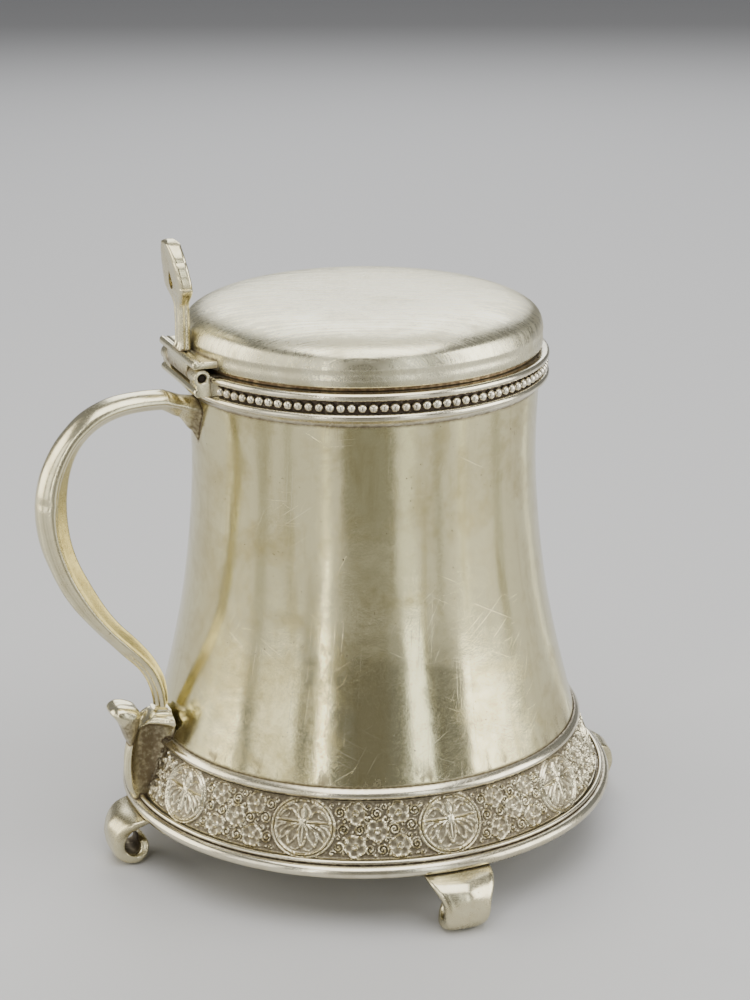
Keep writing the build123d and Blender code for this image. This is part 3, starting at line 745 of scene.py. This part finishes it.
def make_leaf():
    """The leaf that curls out of the bracket: a tongue with a thick rounded tip whose top is nearly level."""
    low, high = bracket_leaf_low[2], bracket_leaf_high[2]
    tip, half = -bracket_leaf_low[0], bracket_leaf_high[1]
    side = [(62.2, low + 0.2), (63.6, low + 3.2), (64.9, low + 6.2), (tip - 0.7, low + 8.4)]
    side += [(tip - 0.1, low + 9.5), (tip - 0.9, high - 0.6), (tip - 2.8, high - 0.05), (62.0, high - 0.55)]
    side += [(59.8, high - 1.9), (59.6, high - 4.0), (60.4, low + 4.0)]
    # the outline runs on past its start so that the curve closes smoothly, and is cut back to one round
    ring = smooth([*side[-2:], *side, *side[:2]], 420)
    away = np.hypot(*(ring - side[0]).T)
    ring = smooth(ring[np.argmin(away[:210]) : 210 + np.argmin(away[210:])], 90)[:-1]
    centre = np.array((62.6, low + 8.2))
    loops, dirt_and_shade = [], []
    for t in np.linspace(-1, 1, 61):
        size = (1 - min(abs(t), 0.9995) ** 3.4) ** (1 / 3.4)
        lobe = 1 + 0.1 * ridge(abs(t) - 0.45, 0.22)
        loop = []
        for radius, z in ring:
            shape = centre + (np.array((radius, z)) - centre) * size
            drop = 0.55 * (1 - lobe * size) * ramp(z, high - 3, high)
            drop += 0.35 * ridge(t, 0.25) * ramp(z, high - 1.6, high - 0.4)
            loop.append((-shape[0], t * half, min(shape[1] - drop, high)))
            # painted shade: the tongue is darkened below its top and inward of its tip, under the overhang
            dirt_and_shade.append(0.75 * ramp(tip - 1.6 - radius, 0, 1.2) * ramp(high - 2.4 - z, 0, 1.0))
        loops.append(loop)
    return loft("leaf", loops, sharp=60, values={"sunk": dirt_and_shade})


# ---- hinge ----

knuckle_r = 2.0
middle_half = 8.0  # half of the length of the lid's knuckle
pin_r = (pin_high[2] - pin_low[2]) / 2


def prism(name, outline, start, end, bevel):
    """An outline in the plane through the handle, pulled along the hinge from start to end."""
    return slab(name, outline, lambda a, b, depth: (a, depth, b), start, end, bevel)


def cut(piece, cutter):
    """Takes one shape out of another."""
    change = piece.modifiers.new("cut", "BOOLEAN")
    change.operation = "DIFFERENCE"
    change.solver = "EXACT"
    change.object = cutter
    bpy.context.view_layer.update()
    seen = piece.evaluated_get(bpy.context.evaluated_depsgraph_get())
    data = bpy.data.meshes.new_from_object(seen)
    piece.modifiers.clear()
    piece.data = data
    bpy.data.objects.remove(cutter)
    shade(data, 32)
    return piece


def rod(name, stations):
    """A round bar along the hinge's axis through stations of (y, radius)."""
    loops = []
    for y, radius in stations:
        ring = arc((axis_x, axis_z), radius, 0, 360, 41)[:-1]
        loops.append([(x, y, z) for x, z in ring])
    return loft(name, loops, sharp=30)


def bore():
    """The cutter for the pin's hole, with 0.03 mm to spare all round."""
    return rod("bore", [(-30, pin_r + 0.03), (30, pin_r + 0.03)])


def knuckle_outline(foot):
    """A barrel on a square foot, from the side, with a groove behind between the barrel and the ledge."""
    top = arc((axis_x, axis_z), knuckle_r, 0, 222, 25)
    groove = (axis_x - knuckle_r + 0.65, axis_z - knuckle_r)
    return [(axis_x + knuckle_r, foot), *top, groove, (axis_x - 1.35, foot)]


def make_body_leaf():
    """Two bored end knuckles, each on a web to the wall, joined by a ledge under the lid's knuckle."""
    foot = leaf_low[2]
    parts = []
    for side in (-1, 1):
        start, end = sorted((side * (middle_half + 0.1), side * hinge_half))
        block = prism(f"end_{side}", knuckle_outline(foot), start, end, 0.16)
        front, back, roof = -38.9, axis_x + 1.2, lip_z - 0.15
        web_outline = [(back, foot), (front, foot), (front, roof), (back, roof)]
        web = prism(f"web_{side}", web_outline, start + 0.1, end - 0.12, 0.1)
        cut(block, bore())
        cut(block, rod("sink", [(side * (hinge_half + 0.2), 1.45), (side * (hinge_half - 0.3), 1.05)]))
        parts += [block, web]
    ledge = []
    end = hinge_half - 0.04
    top = axis_z - knuckle_r - 0.35
    for y in np.r_[-end, -end + 0.15, np.linspace(-13, 13, 27), end - 0.15, end]:
        edge = 0.15 if abs(y) > end - 0.01 else 0.0
        round_r = (top - foot) / 2 - edge
        rear = arc((axis_x - knuckle_r + 0.02 + round_r + edge, (top + foot) / 2), round_r, 90, 270, 13)
        front = -sqrt(rim_bore**2 - y * y)
        ledge.append([(x, y, z) for x, z in [(front, top - edge), *rear, (front, foot + edge)]])
    parts.append(loft("ledge", ledge, sharp=50))
    piece = join("hinge_vessel", parts)
    clip_to_wall(piece)
    return piece


def clip_to_wall(piece, depth=0.5):
    """Moves what reaches through the vessel's wall back into it."""
    for vertex in piece.data.vertices:
        radius = hypot(vertex.co.x, vertex.co.y) / MM
        if radius < neck - depth:
            vertex.co.x *= (neck - depth) / radius
            vertex.co.y *= (neck - depth) / radius


def make_lid_leaf():
    """The lid's knuckle and its plate, whose back edge is rolled and has two fine reeds on top."""
    low, high = plate_low, plate_high
    plate_foot = axis_z + knuckle_r + 0.25
    ends = (0, 0.12, 0.3)
    rows_y = [*(low[1] + step for step in ends), *np.linspace(-13.4, 13.4, 55)]
    # distance from the back edge, and from the top, of each point of the rolled edge and the reeds
    roll = [(0.05, 0.6), (0.3, 0.2), (0.75, 0), (1.15, 0.1), (1.35, 0.36), (1.6, 0.42)]
    roll += [(1.85, 0.3), (2.15, 0.1), (2.5, 0.28), (2.8, 0.36), (3.1, 0.3)]
    loops = []
    for y in [*rows_y, *(high[1] - step for step in ends[::-1])]:
        inset = 0.3 * (1 - min(1.0, (hinge_half - abs(y)) / 0.3) ** 0.5)
        back, top, foot = low[0] + inset, high[2] - inset, plate_foot + inset * 0.6
        front = -sqrt((lid_radius - 0.45) ** 2 - y * y)
        nick = 0.12 * noise.noise(Vector((y * 0.5, 0, 3)))
        ring = [(front, foot), (back + 0.5, foot), (back + 0.12, foot + 0.2), (back, foot + 0.6 + nick)]
        ring += [(back + inward, top - drop) for inward, drop in roll]
        loops.append([(x, y, z) for x, z in [*ring, (front, top - 0.28)]])
    plate = loft("plate", loops, sharp=55)
    head = plate_foot + 0.3
    barrel = arc((axis_x, axis_z), knuckle_r, 180, 360, 25)
    outline = [(axis_x + knuckle_r, head), (axis_x - knuckle_r, head), *barrel]
    knuckle = prism("knuckle", outline, -middle_half, middle_half, 0.15)
    return join("hinge_lid", [plate, cut(knuckle, bore())])


def make_pin():
    start, end, chamfer = pin_low[1], pin_high[1], 0.25
    thin = pin_r - chamfer
    return rod("pin", [(start, thin), (start + chamfer, pin_r), (end - chamfer, pin_r), (end, thin)])


# ---- lid ----


def make_lid():
    foot, crown = lid_low[2], lid_high[2]
    thick = 1.1
    r = lid_radius
    dome = [(r, foot + 4.0), (r - 0.35, foot + 5.9), (r - 1.5, crown - 4.5), (36.25, crown - 1.75)]
    dome = smooth([*dome, (26.9, crown - 0.4), (14.0, crown - 0.05), (0.01, crown)], 120)
    rise = [(r - 0.16, foot + 0.12), (r - 0.02, foot + 1.4), (r - 0.1, foot + 2.9), (r, foot + 4.0)]
    rise = smooth(rise, 16)
    under = [(r - thick, foot + 3.7), (r - 1.5 - 0.9, crown - 5.3), (35.8, crown - 2.9), (26.7, crown - 1.5)]
    under = smooth([*under, (14.0, crown - thick), (0.01, crown - thick)], 60)[::-1]
    profile = [(r - 0.25, foot), *rise[:-1], *dome, *under, (r - thick, foot + 0.4), (r - 0.7, foot)]
    return lathe("lid_dome", profile, 512, wobble=0.06, sharp=50)


def make_bezel():
    low, high = node_box("lid_bezel")
    outer, skirt = high[0], high[0] - 1.32
    level = lip_z + 0.12
    profile = [(outer, level + 0.1), (outer, high[2]), (skirt - 0.9, high[2]), (skirt - 0.9, low[2] + 0.2)]
    profile += [(skirt - 0.8, low[2]), (skirt - 0.3, low[2]), (skirt, low[2] + 0.6), (skirt, level - 0.5)]
    return lathe("bezel", [*profile, (skirt + 0.1, level), (outer - 0.1, level)])


# ---- thumbpiece ----


def make_thumbpiece():
    """A reeded stem that spreads into a flat head with three scallops on each side and a pierced drop."""
    foot, top = thumb_low[2], thumb_high[2]
    front = -lid_radius - 0.4
    wide = top - 10.6  # where the head is widest
    half = (thumb_high[1] - thumb_low[1]) / 2 - 0.17
    loops, dirt_and_shade = [], []
    across, deep = superellipse(96, 6.0)
    for z in np.linspace(foot, top, 150):
        lean = 1.7 * ramp(z, wide - 5, top + 6) * 1.35
        stem = 2.7 + 0.35 * ridge(z - foot, 1.2)
        width = stem + (half - stem) * ramp(z, wide - 6.0, wide - 0.2) ** 1.25
        if z > wide:
            rise = (z - wide) / (top - wide)
            scallop = 0.24 * abs(sin(pi * 3.0 * (z - wide) / (top - wide - 1.6))) ** 0.7
            width = half * (1 - rise**2.1 * 0.64) - 0.3 + scallop
            width *= round_off((rise - 0.84) / 0.16) * 0.98 + 0.02
        thick = 1.3 + 0.4 * ramp(z, wide - 6, wide - 1) + 0.25 * ridge(z - foot, 1.0)
        close = min(1.0, (top - z) / 0.9 + 0.12) ** 0.5
        reed = 0.2 * (1 - ramp(z, wide - 3.5, wide - 0.5))
        loop = []
        for a, b in zip(across, deep):
            groove = reed * (0.5 + 0.5 * np.cos(2 * pi * b * 1.25)) if abs(a) > 0.6 else 0.0
            edge = reed * 1.2 * ridge(abs(a) - 0.45, 0.14) if abs(b) > 0.6 else 0.0
            y = a * (width - groove)
            depth = b * (thick - edge) * close
            wave = 0.07 * noise.noise(Vector((y * 0.4, depth * 0.4, z * 0.4)))
            loop.append((min(front - thick - lean + depth + wave, front), np.clip(y, -half, half), z))
            # dirt and painted shade in the reeds' grooves
            dirt_and_shade.append(1.6 * (groove + edge))
        loops.append(loop)
    piece = loft("thumb", loops, sharp=50, values={"sunk": dirt_and_shade})
    eye = wide + 0.4
    tear = [*arc((0, eye), 1.6, 175, 365, 17), (1.0, eye + 1.5), (0.0, eye + 3.0), (-1.0, eye + 1.5)]
    cutter = slab("tear", tear, lambda a, b, depth: (depth, a, b), front - 12, front + 6, 0)
    return cut(piece, cutter)


# ---- finishes ----


class Shader:
    """Short names for the nodes of one material."""

    def __init__(self, name):
        self.material = bpy.data.materials.new(name)
        self.material.use_nodes = True
        self.tree = self.material.node_tree
        self.tree.nodes.clear()

    def node(self, kind, inputs=(), **settings):
        made = self.tree.nodes.new(kind)
        for key, value in settings.items():
            setattr(made, key, value)
        for key, value in dict(inputs).items():
            if isinstance(value, bpy.types.NodeSocket):
                self.tree.links.new(value, made.inputs[key])
            elif value is not None:
                made.inputs[key].default_value = value
        return made

    def math(self, operation, a, b=0.0, clamp=False):
        return self.node("ShaderNodeMath", {0: a, 1: b}, operation=operation, use_clamp=clamp).outputs[0]

    def times(self, a, b):
        return self.math("MULTIPLY", a, b)

    def plus(self, a, b):
        return self.math("ADD", a, b)

    def most(self, a, b):
        return self.math("MAXIMUM", a, b)

    def fit(self, value, low, high, to_low=0.0, to_high=1.0):
        inputs = {"Value": value, "From Min": low, "From Max": high, "To Min": to_low, "To Max": to_high}
        return self.node("ShaderNodeMapRange", inputs, interpolation_type="SMOOTHSTEP").outputs[0]

    def noise(self, at, scale, detail=3.0, rough=0.55, bend=0.0):
        inputs = {"Vector": at, "Scale": scale, "Detail": detail, "Roughness": rough, "Distortion": bend}
        return self.node("ShaderNodeTexNoise", inputs).outputs[0]

    def mix(self, share, a, b):
        return self.node("ShaderNodeMix", {0: share, 6: a, 7: b}, data_type="RGBA").outputs[2]

    def place(self, at, size, turn=0.0):
        """Turns a pattern by an angle in degrees and gives it a size along each turned axis."""
        inputs = {"Vector": at, "Scale": size, "Rotation": (0, 0, radians(turn))}
        return self.node("ShaderNodeMapping", inputs, vector_type="TEXTURE").outputs[0]

    def millimetres(self):
        spot = self.node("ShaderNodeTexCoord").outputs["Object"]
        inputs = {0: spot, 1: (1 / MM, 1 / MM, 1 / MM)}
        return self.node("ShaderNodeVectorMath", inputs, operation="MULTIPLY").outputs[0]

    def unrolled(self, spot, radius):
        """The surface of a turned piece laid flat: the way round it, and its height."""
        parts = self.node("ShaderNodeSeparateXYZ", {0: spot})
        turn = self.math("ARCTAN2", parts.outputs[1], parts.outputs[0])
        around = self.math("MULTIPLY", turn, radius)
        return self.node("ShaderNodeCombineXYZ", {0: around, 1: parts.outputs[2]}).outputs[0]

    def surface(self, inputs):
        shade = self.node("ShaderNodeBsdfPrincipled", inputs)
        self.node("ShaderNodeOutputMaterial", {"Surface": shade.outputs[0]})

    def attribute(self, name):
        return self.node("ShaderNodeAttribute", attribute_name=name).outputs["Fac"]

    def lines(self, flat, turn, fine, reach, low, high):
        """Long thin scratches in one direction."""
        along = self.place(flat, (reach, 1 / fine, 1), turn)
        return self.fit(self.noise(along, 1.0, 2.0, 0.5), low, high)


def rgb(red, green, blue):
    return (red, green, blue, 1)


def silver(
    name, bright, warm, dirt_and_shade_colour, rough=0.2, blotch=0.6, scratch=0.5, grain=0.8, turned=None,
    seam_dirt_and_shade=0.9, specks=0.5, waves=0.05, relief=0.0, runs=0.0, stain=None, brushed=None,
):
    """Silver plate with warm tarnish, brown dirt and painted shade in hollows and seams, specks and fine
    scratches.

    turned is the radius of a turned piece, relief the dirt and painted shade between an ornament, runs the
    dull streaks down a wall, stain the height that brown stains creep up from, and brushed the direction of
    brushing in degrees.
    """
    m = Shader(name)
    spot = m.millimetres()
    flat = m.unrolled(spot, turned) if turned else spot

    # tarnish
    patch = m.fit(m.noise(spot, 0.045, 5.0, 0.6, 0.8), 0.42, 0.66)
    mottle = m.noise(spot, 0.33, 4.0, 0.62)
    tint = m.math("MULTIPLY", m.plus(patch, m.fit(mottle, 0.35, 0.75, -0.25, 0.35)), blotch, True)
    colour = m.mix(tint, bright, warm)

    # dirt and painted shade in the seams and in what lies deep, and dirt in specks
    dirt_and_shade_noise = m.noise(spot, 0.9, 4.0, 0.6)
    seam = m.fit(m.times(m.attribute("seam"), m.fit(dirt_and_shade_noise, 0.2, 0.7, 0.6, 1.25)), 0.12, 0.95)
    sunk = m.fit(m.times(m.attribute("sunk"), m.fit(dirt_and_shade_noise, 0.2, 0.8, 0.7, 1.2)), 0.25, 1.0)
    dirt_and_shade = m.most(m.times(seam, seam_dirt_and_shade), m.times(sunk, 0.9))
    if relief:
        # patina and painted shade: the ornament's low parts are darkened, deep enough to give the relief its
        # contrast
        tall = m.plus(m.attribute("height"), m.fit(dirt_and_shade_noise, 0.2, 0.8, -0.1, 0.1))
        dirt_and_shade = m.most(dirt_and_shade, m.times(m.fit(tall, 0.08, 0.62, 1.0, 0.0), relief))
    speck = m.fit(m.noise(spot, 1.3, 2.0, 0.5), 0.69, 0.76)
    where = m.fit(m.noise(spot, 0.09, 2.0, 0.5), 0.45, 0.62)
    dirt_and_shade = m.most(dirt_and_shade, m.times(m.times(speck, where), specks))
    if runs:
        run = m.noise(m.place(flat, (5.0, 45.0, 1)), 1.0, 4.0, 0.6, 0.4)
        colour = m.mix(m.times(m.fit(run, 0.5, 0.72), runs), colour, warm)
    if stain:
        rise = m.node("ShaderNodeSeparateXYZ", {0: spot}).outputs[2]
        creep = m.noise(m.place(flat, (3.0, 9.0, 1)), 1.0, 4.0, 0.6, 0.6)
        low_part = m.times(m.fit(rise, stain + 7.0, stain - 0.5), 0.75)
        dirt_and_shade = m.most(dirt_and_shade, m.times(low_part, m.fit(creep, 0.5, 0.68)))
    colour = m.mix(dirt_and_shade, colour, dirt_and_shade_colour)

    # bright scratches in several directions
    marks = m.lines(flat, 86, 2.6, 34.0, 0.64, 0.74)
    for turn, fine, reach in ((34, 3.4, 26.0), (-28, 3.0, 30.0), (63, 3.8, 18.0), (4, 3.2, 24.0)):
        marks = m.most(marks, m.lines(flat, turn, fine, reach, 0.67, 0.75))
    marks = m.times(marks, m.fit(m.noise(spot, 0.06, 2.0), 0.35, 0.65, 0.15, 1.0))
    colour = m.mix(m.times(marks, 0.28 * scratch), colour, rgb(0.93, 0.91, 0.84))

    # bumps, in millimetres, and gloss
    fine = m.noise(spot, 2.2, 3.0, 0.6)
    wave = m.noise(spot, 0.075, 2.0, 0.4)
    height = m.plus(m.times(fine, 0.011 * grain), m.times(marks, -0.012 * scratch))
    height = m.plus(height, m.times(wave, waves))
    height = m.plus(height, m.times(mottle, 0.018 * grain))
    roughness = m.plus(m.times(tint, 0.1), rough)
    roughness = m.plus(roughness, m.fit(fine, 0.3, 0.7, -0.03, 0.05))
    roughness = m.plus(roughness, m.times(dirt_and_shade, 0.32))
    tangent = None
    if brushed is not None:
        strands = m.noise(m.place(spot, (26.0, 0.24, 2.0), brushed), 1.0, 4.0, 0.65)
        broad = m.noise(m.place(spot, (45.0, 0.9, 5.0), brushed), 1.0, 3.0, 0.6)
        height = m.plus(height, m.times(strands, 0.034))
        lift = m.plus(m.fit(strands, 0.3, 0.7, -0.5, 0.5), m.fit(broad, 0.35, 0.65, -0.5, 0.5))
        roughness = m.plus(roughness, m.times(lift, 0.09))
        colour = m.mix(m.fit(lift, -0.6, 0.9, 0.0, 0.22), colour, rgb(0.35, 0.32, 0.25))
        across = {0: -sin(radians(brushed)), 1: cos(radians(brushed)), 2: 0.0}
        way = {0: m.node("ShaderNodeCombineXYZ", across).outputs[0]}
        kind = {"vector_type": "VECTOR", "convert_from": "OBJECT", "convert_to": "WORLD"}
        tangent = m.node("ShaderNodeVectorTransform", way, **kind).outputs[0]

    normal = m.node("ShaderNodeBump", {"Strength": 1.0, "Distance": MM, "Height": height}).outputs[0]
    inputs = {
        "Base Color": colour,
        "Metallic": m.fit(dirt_and_shade, 0.2, 1.0, 1.0, 0.7),
        "Roughness": m.math("MINIMUM", m.most(roughness, 0.06), 0.75),
        "Normal": normal,
        "Anisotropic": 0.55 if tangent else 0.0,
        "Tangent": tangent,
    }
    m.surface(inputs)
    return m.material


brown = rgb(0.10, 0.072, 0.045)
brush_turn = -20.6  # the lid is brushed along this direction, in degrees from the X axis towards Y


body_finish = silver(
    "body_plate", rgb(0.66, 0.61, 0.365), rgb(0.46, 0.40, 0.20), brown, rough=0.13, blotch=0.75, scratch=0.55,
    grain=0.7, turned=46.0, seam_dirt_and_shade=0.85, specks=0.9, waves=0.2, runs=0.6, stain=shoulder_z,
)
lid_finish = silver(
    "lid_plate", rgb(0.70, 0.66, 0.475), rgb(0.50, 0.455, 0.29), brown, rough=0.25, specks=0.45, waves=0.1,
    brushed=brush_turn,
)
# its dark brown fills the ornament's hollows with patina and painted shade
relief_finish = silver(
    "relief_plate", rgb(0.74, 0.68, 0.49), rgb(0.54, 0.475, 0.32), rgb(0.085, 0.066, 0.042), scratch=0.2,
    grain=0.9, specks=0.3, relief=0.92,
)
rim_finish = silver(
    "rim_plate", rgb(0.74, 0.69, 0.53), rgb(0.50, 0.445, 0.30), brown, rough=0.18, scratch=0.4, grain=0.9,
    turned=50.0, seam_dirt_and_shade=1.0, specks=0.6, waves=0.1,
)
bead_finish = silver(
    "bead_plate", rgb(0.75, 0.70, 0.57), rgb(0.52, 0.45, 0.33), rgb(0.085, 0.062, 0.045), rough=0.22,
    scratch=0.1, seam_dirt_and_shade=1.0, specks=0.3,
)
cast_finish = silver(
    "cast_plate", rgb(0.72, 0.665, 0.455), rgb(0.50, 0.435, 0.245), rgb(0.10, 0.067, 0.034), rough=0.21,
    scratch=0.35, grain=1.1, seam_dirt_and_shade=0.95, specks=0.8, waves=0.12,
)
bezel_finish = silver(
    "bezel_plate", rgb(0.66, 0.52, 0.30), rgb(0.40, 0.29, 0.15), rgb(0.09, 0.05, 0.025), rough=0.3,
    blotch=0.8, turned=42.0, specks=0.8,
)
# painted shade: the pin is coloured near black so that its end, deep in the countersunk bore, shows as a dark
# hole
pin_painted_shade_finish = silver(
    "pin_metal", rgb(0.07, 0.055, 0.045), rgb(0.04, 0.03, 0.022), rgb(0.02, 0.015, 0.01), rough=0.6,
    blotch=0.8, scratch=0.2, grain=1.0, specks=0.8, waves=0.0,
)

# ---- the whole piece ----

vessel_parts = [
    (make_wall, "body_wall", "body_plate", body_finish),
    (make_floor, "body_floor", "body_plate", body_finish),
    (make_flange, "base_flange", "rim_plate", rim_finish),
    (make_wire, "base_wire", "rim_plate", rim_finish),
    (make_band, "base_band", "relief_plate", relief_finish),
    (make_top_moulding, "base_top_moulding", "rim_plate", rim_finish),
    (make_lower_wire, "rim_lower_moulding", "rim_plate", rim_finish),
    (make_beads, "rim_bead_band", "relief_plate", bead_finish),
    (make_upper_wire, "rim_upper_moulding", "rim_plate", rim_finish),
    (make_handle, "handle", "cast_plate", cast_finish),
    (make_socket, "handle_socket", "cast_plate", cast_finish),
    (make_bracket, "handle_bracket", "cast_plate", cast_finish),
    (make_leaf, "handle_leaf", "cast_plate", cast_finish),
    (make_body_leaf, "hinge_body_leaf", "cast_plate", cast_finish),
    (make_pin, "hinge_pin", "pin_metal", pin_painted_shade_finish),
]
lid_parts = [
    (make_lid_leaf, "lid_hinge_leaf", "cast_plate", cast_finish),
    (make_lid, "lid_shell", "lid_plate", lid_finish),
    (make_bezel, "lid_bezel", "bezel_plate", bezel_finish),
    (make_thumbpiece, "thumbpiece", "cast_plate", cast_finish),
]
pieces = []
for body, parts in (("vessel", vessel_parts), ("lid", lid_parts)):
    for make, node, slot, finish in parts:
        pieces.append(place(make(), body, node, finish))
for node, turn in (("foot_rear", 180), ("foot_right", 270), ("foot_front", 0), ("foot_left", 90)):
    made = make_foot(f"scroll_{node}", radians(turn), seed=turn)
    pieces.append(place(made, "vessel", node, cast_finish))


def mark_seams(reach=1.0):
    """Stores on each point how close the next piece is: dirt and painted shade gather there. The handle runs
    into its root.
    """
    handle_parts = {"handle_grip", "handle_root"}
    trees, corners, spots = [], [], []
    for piece in pieces:
        data = piece.data
        spot = np.empty(len(data.vertices) * 3)
        data.vertices.foreach_get("co", spot)
        spot = spot.reshape(-1, 3)
        polygons = [polygon.vertices[:] for polygon in data.polygons]
        trees.append(BVHTree.FromPolygons(spot.tolist(), polygons))
        corners.append((spot.min(0) - reach * MM, spot.max(0) + reach * MM))
        spots.append(spot)
    for piece, spot in zip(pieces, spots):
        near = np.full(len(spot), reach * MM)
        for other, tree, (low, high) in zip(pieces, trees, corners):
            if other == piece or {piece.name, other.name} == handle_parts:
                continue
            for i in np.nonzero(((spot > low) & (spot < high)).all(1))[0]:
                distance = tree.find_nearest(spot[i], near[i])[3]
                if distance is not None:
                    near[i] = min(near[i], distance)
        set_values(piece.data, "seam", 1 - near / (reach * MM))


mark_seams()

# ---- studio ----

camera_at = Vector((-0.1902, -0.5060, 0.2616))
camera_turn = atan2(camera_at.y, camera_at.x)


def plain(name, colour, rough=0.9):
    m = Shader(name)
    m.surface({"Base Color": colour, "Roughness": rough})
    return m.material


bpy.ops.mesh.primitive_plane_add(size=14, location=(0, 0, 0))
ground = bpy.context.object
ground.name = "floor"
ground.data.materials.append(plain("pale_floor", rgb(0.46, 0.46, 0.47), 0.75))


def stand(made, turn, distance, height, aim):
    """Puts a light or a sheet round the stein and turns it to a height, in metres, on the stein's axis.

    turn is in degrees from the camera's direction; right of the picture is positive.
    """
    angle = camera_turn + radians(turn)
    made.location = Vector((distance * cos(angle), distance * sin(angle), height))
    made.rotation_mode = "QUATERNION"
    made.rotation_quaternion = (Vector((0, 0, aim)) - made.location).to_track_quat("-Z", "Y")


def softbox(name, turn, distance, height, size, power, colour, aim=0.07):
    light = bpy.data.lights.new(name, "AREA")
    light.shape = "RECTANGLE"
    light.size, light.size_y = size
    light.energy = power
    light.color = colour
    lamp = new_object(name, light)
    stand(lamp, turn, distance, height, aim)
    lamp.visible_camera = False


def only_reflected(sheet, colour):
    """Makes a sheet that doesn't show in the picture or shade the stein, but is reflected in it."""
    sheet.data.materials.append(plain(sheet.name, colour))
    sheet.visible_camera = sheet.visible_shadow = sheet.visible_diffuse = False


def card(name, turn, distance, height, size, colour):
    bpy.ops.mesh.primitive_plane_add(size=1)
    sheet = bpy.context.object
    sheet.name = name
    sheet.scale = (*size, 1)
    stand(sheet, turn, distance, height, height)
    only_reflected(sheet, colour)


softbox("top", 10, 0.32, 1.25, (1.2, 1.2), 19, (1.0, 0.985, 0.95))
softbox("strip", -23, 0.62, 0.26, (0.03, 0.5), 0.55, (1.0, 0.98, 0.9), 0.26)
softbox("right_near", 29, 0.75, 0.30, (0.14, 0.6), 0.8, (0.97, 1.0, 0.97), 0.30)
softbox("right_wide", 78, 0.9, 0.40, (0.7, 0.8), 9, (1.0, 0.99, 0.94), 0.40)
softbox("left_fill", -50, 0.95, 0.35, (0.42, 0.7), 1.8, (1.0, 0.98, 0.9), 0.35)
softbox("left_warm", -95, 0.95, 0.40, (0.8, 0.8), 8, (1.0, 0.95, 0.82), 0.40)
softbox("back", 178, 1.2, 0.95, (1.1, 1.1), 13.5, (0.98, 0.99, 1.0), 0.17)
card("flag_camera", 3, 0.85, 0.4, (0.30, 0.8), rgb(0.13, 0.125, 0.115))


def wedge(name, from_turn, to_turn, colour):
    """A sector of a ring on the floor round the stein, for the upright streaks that it reflects."""
    points = []
    for turn in np.linspace(from_turn, to_turn, 9):
        angle = camera_turn + radians(turn)
        points += [(reach * cos(angle), reach * sin(angle), 0.3) for reach in (100, 600)]
    only_reflected(mesh(name, points, grid_faces(9, 2)), colour)


wedge("wedge_dark", -13, 19, rgb(0.16, 0.16, 0.15))
wedge("wedge_bright", 22, 31, rgb(0.62, 0.63, 0.60))
wedge("wedge_thin", -25, -21, rgb(0.80, 0.78, 0.68))
# middle, half width (both in degrees) and brightness
streaks = [(-93, 2.5, 0.85), (-66, 4, 0.28), (-48, 2.5, 0.3), (46, 2, 0.22), (63, 3, 0.7), (92, 4, 0.3)]
for middle, half, tone in [*streaks, (128, 3, 0.8)]:
    wedge(f"wedge_{middle}", middle - half, middle + half, rgb(tone, tone, 0.93 * tone))

world = bpy.data.worlds.new("studio")
bpy.context.scene.world = world
world.use_nodes = True
sky = world.node_tree.nodes["Background"].inputs
sky["Color"].default_value, sky["Strength"].default_value = rgb(0.80, 0.81, 0.83), 0.30

# ---- camera ----

view_turn, view_pitch, view_roll = radians(20.6), 0.314414674, -0.0057473836
view_yaw = 0.00499658586
level = Vector((sin(view_yaw) * cos(view_pitch), cos(view_yaw) * cos(view_pitch), -sin(view_pitch)))
right = level.cross(Vector((0, 0, 1))).normalized()
upward = right.cross(level)
picture_right = right * cos(view_roll) + upward * sin(view_roll)
picture_up = upward * cos(view_roll) - right * sin(view_roll)
spin = Matrix.Rotation(-view_turn, 3, "Z")
axes = Matrix((spin @ picture_right, spin @ picture_up, spin @ -level)).transposed()

lens = bpy.data.cameras.new("camera")
lens.lens = 82.8
lens.sensor_width = 36
lens.clip_start = 0.01
eye = new_object("camera", lens)
eye.matrix_world = Matrix.Translation(camera_at) @ axes.to_4x4()
bpy.context.scene.camera = eye
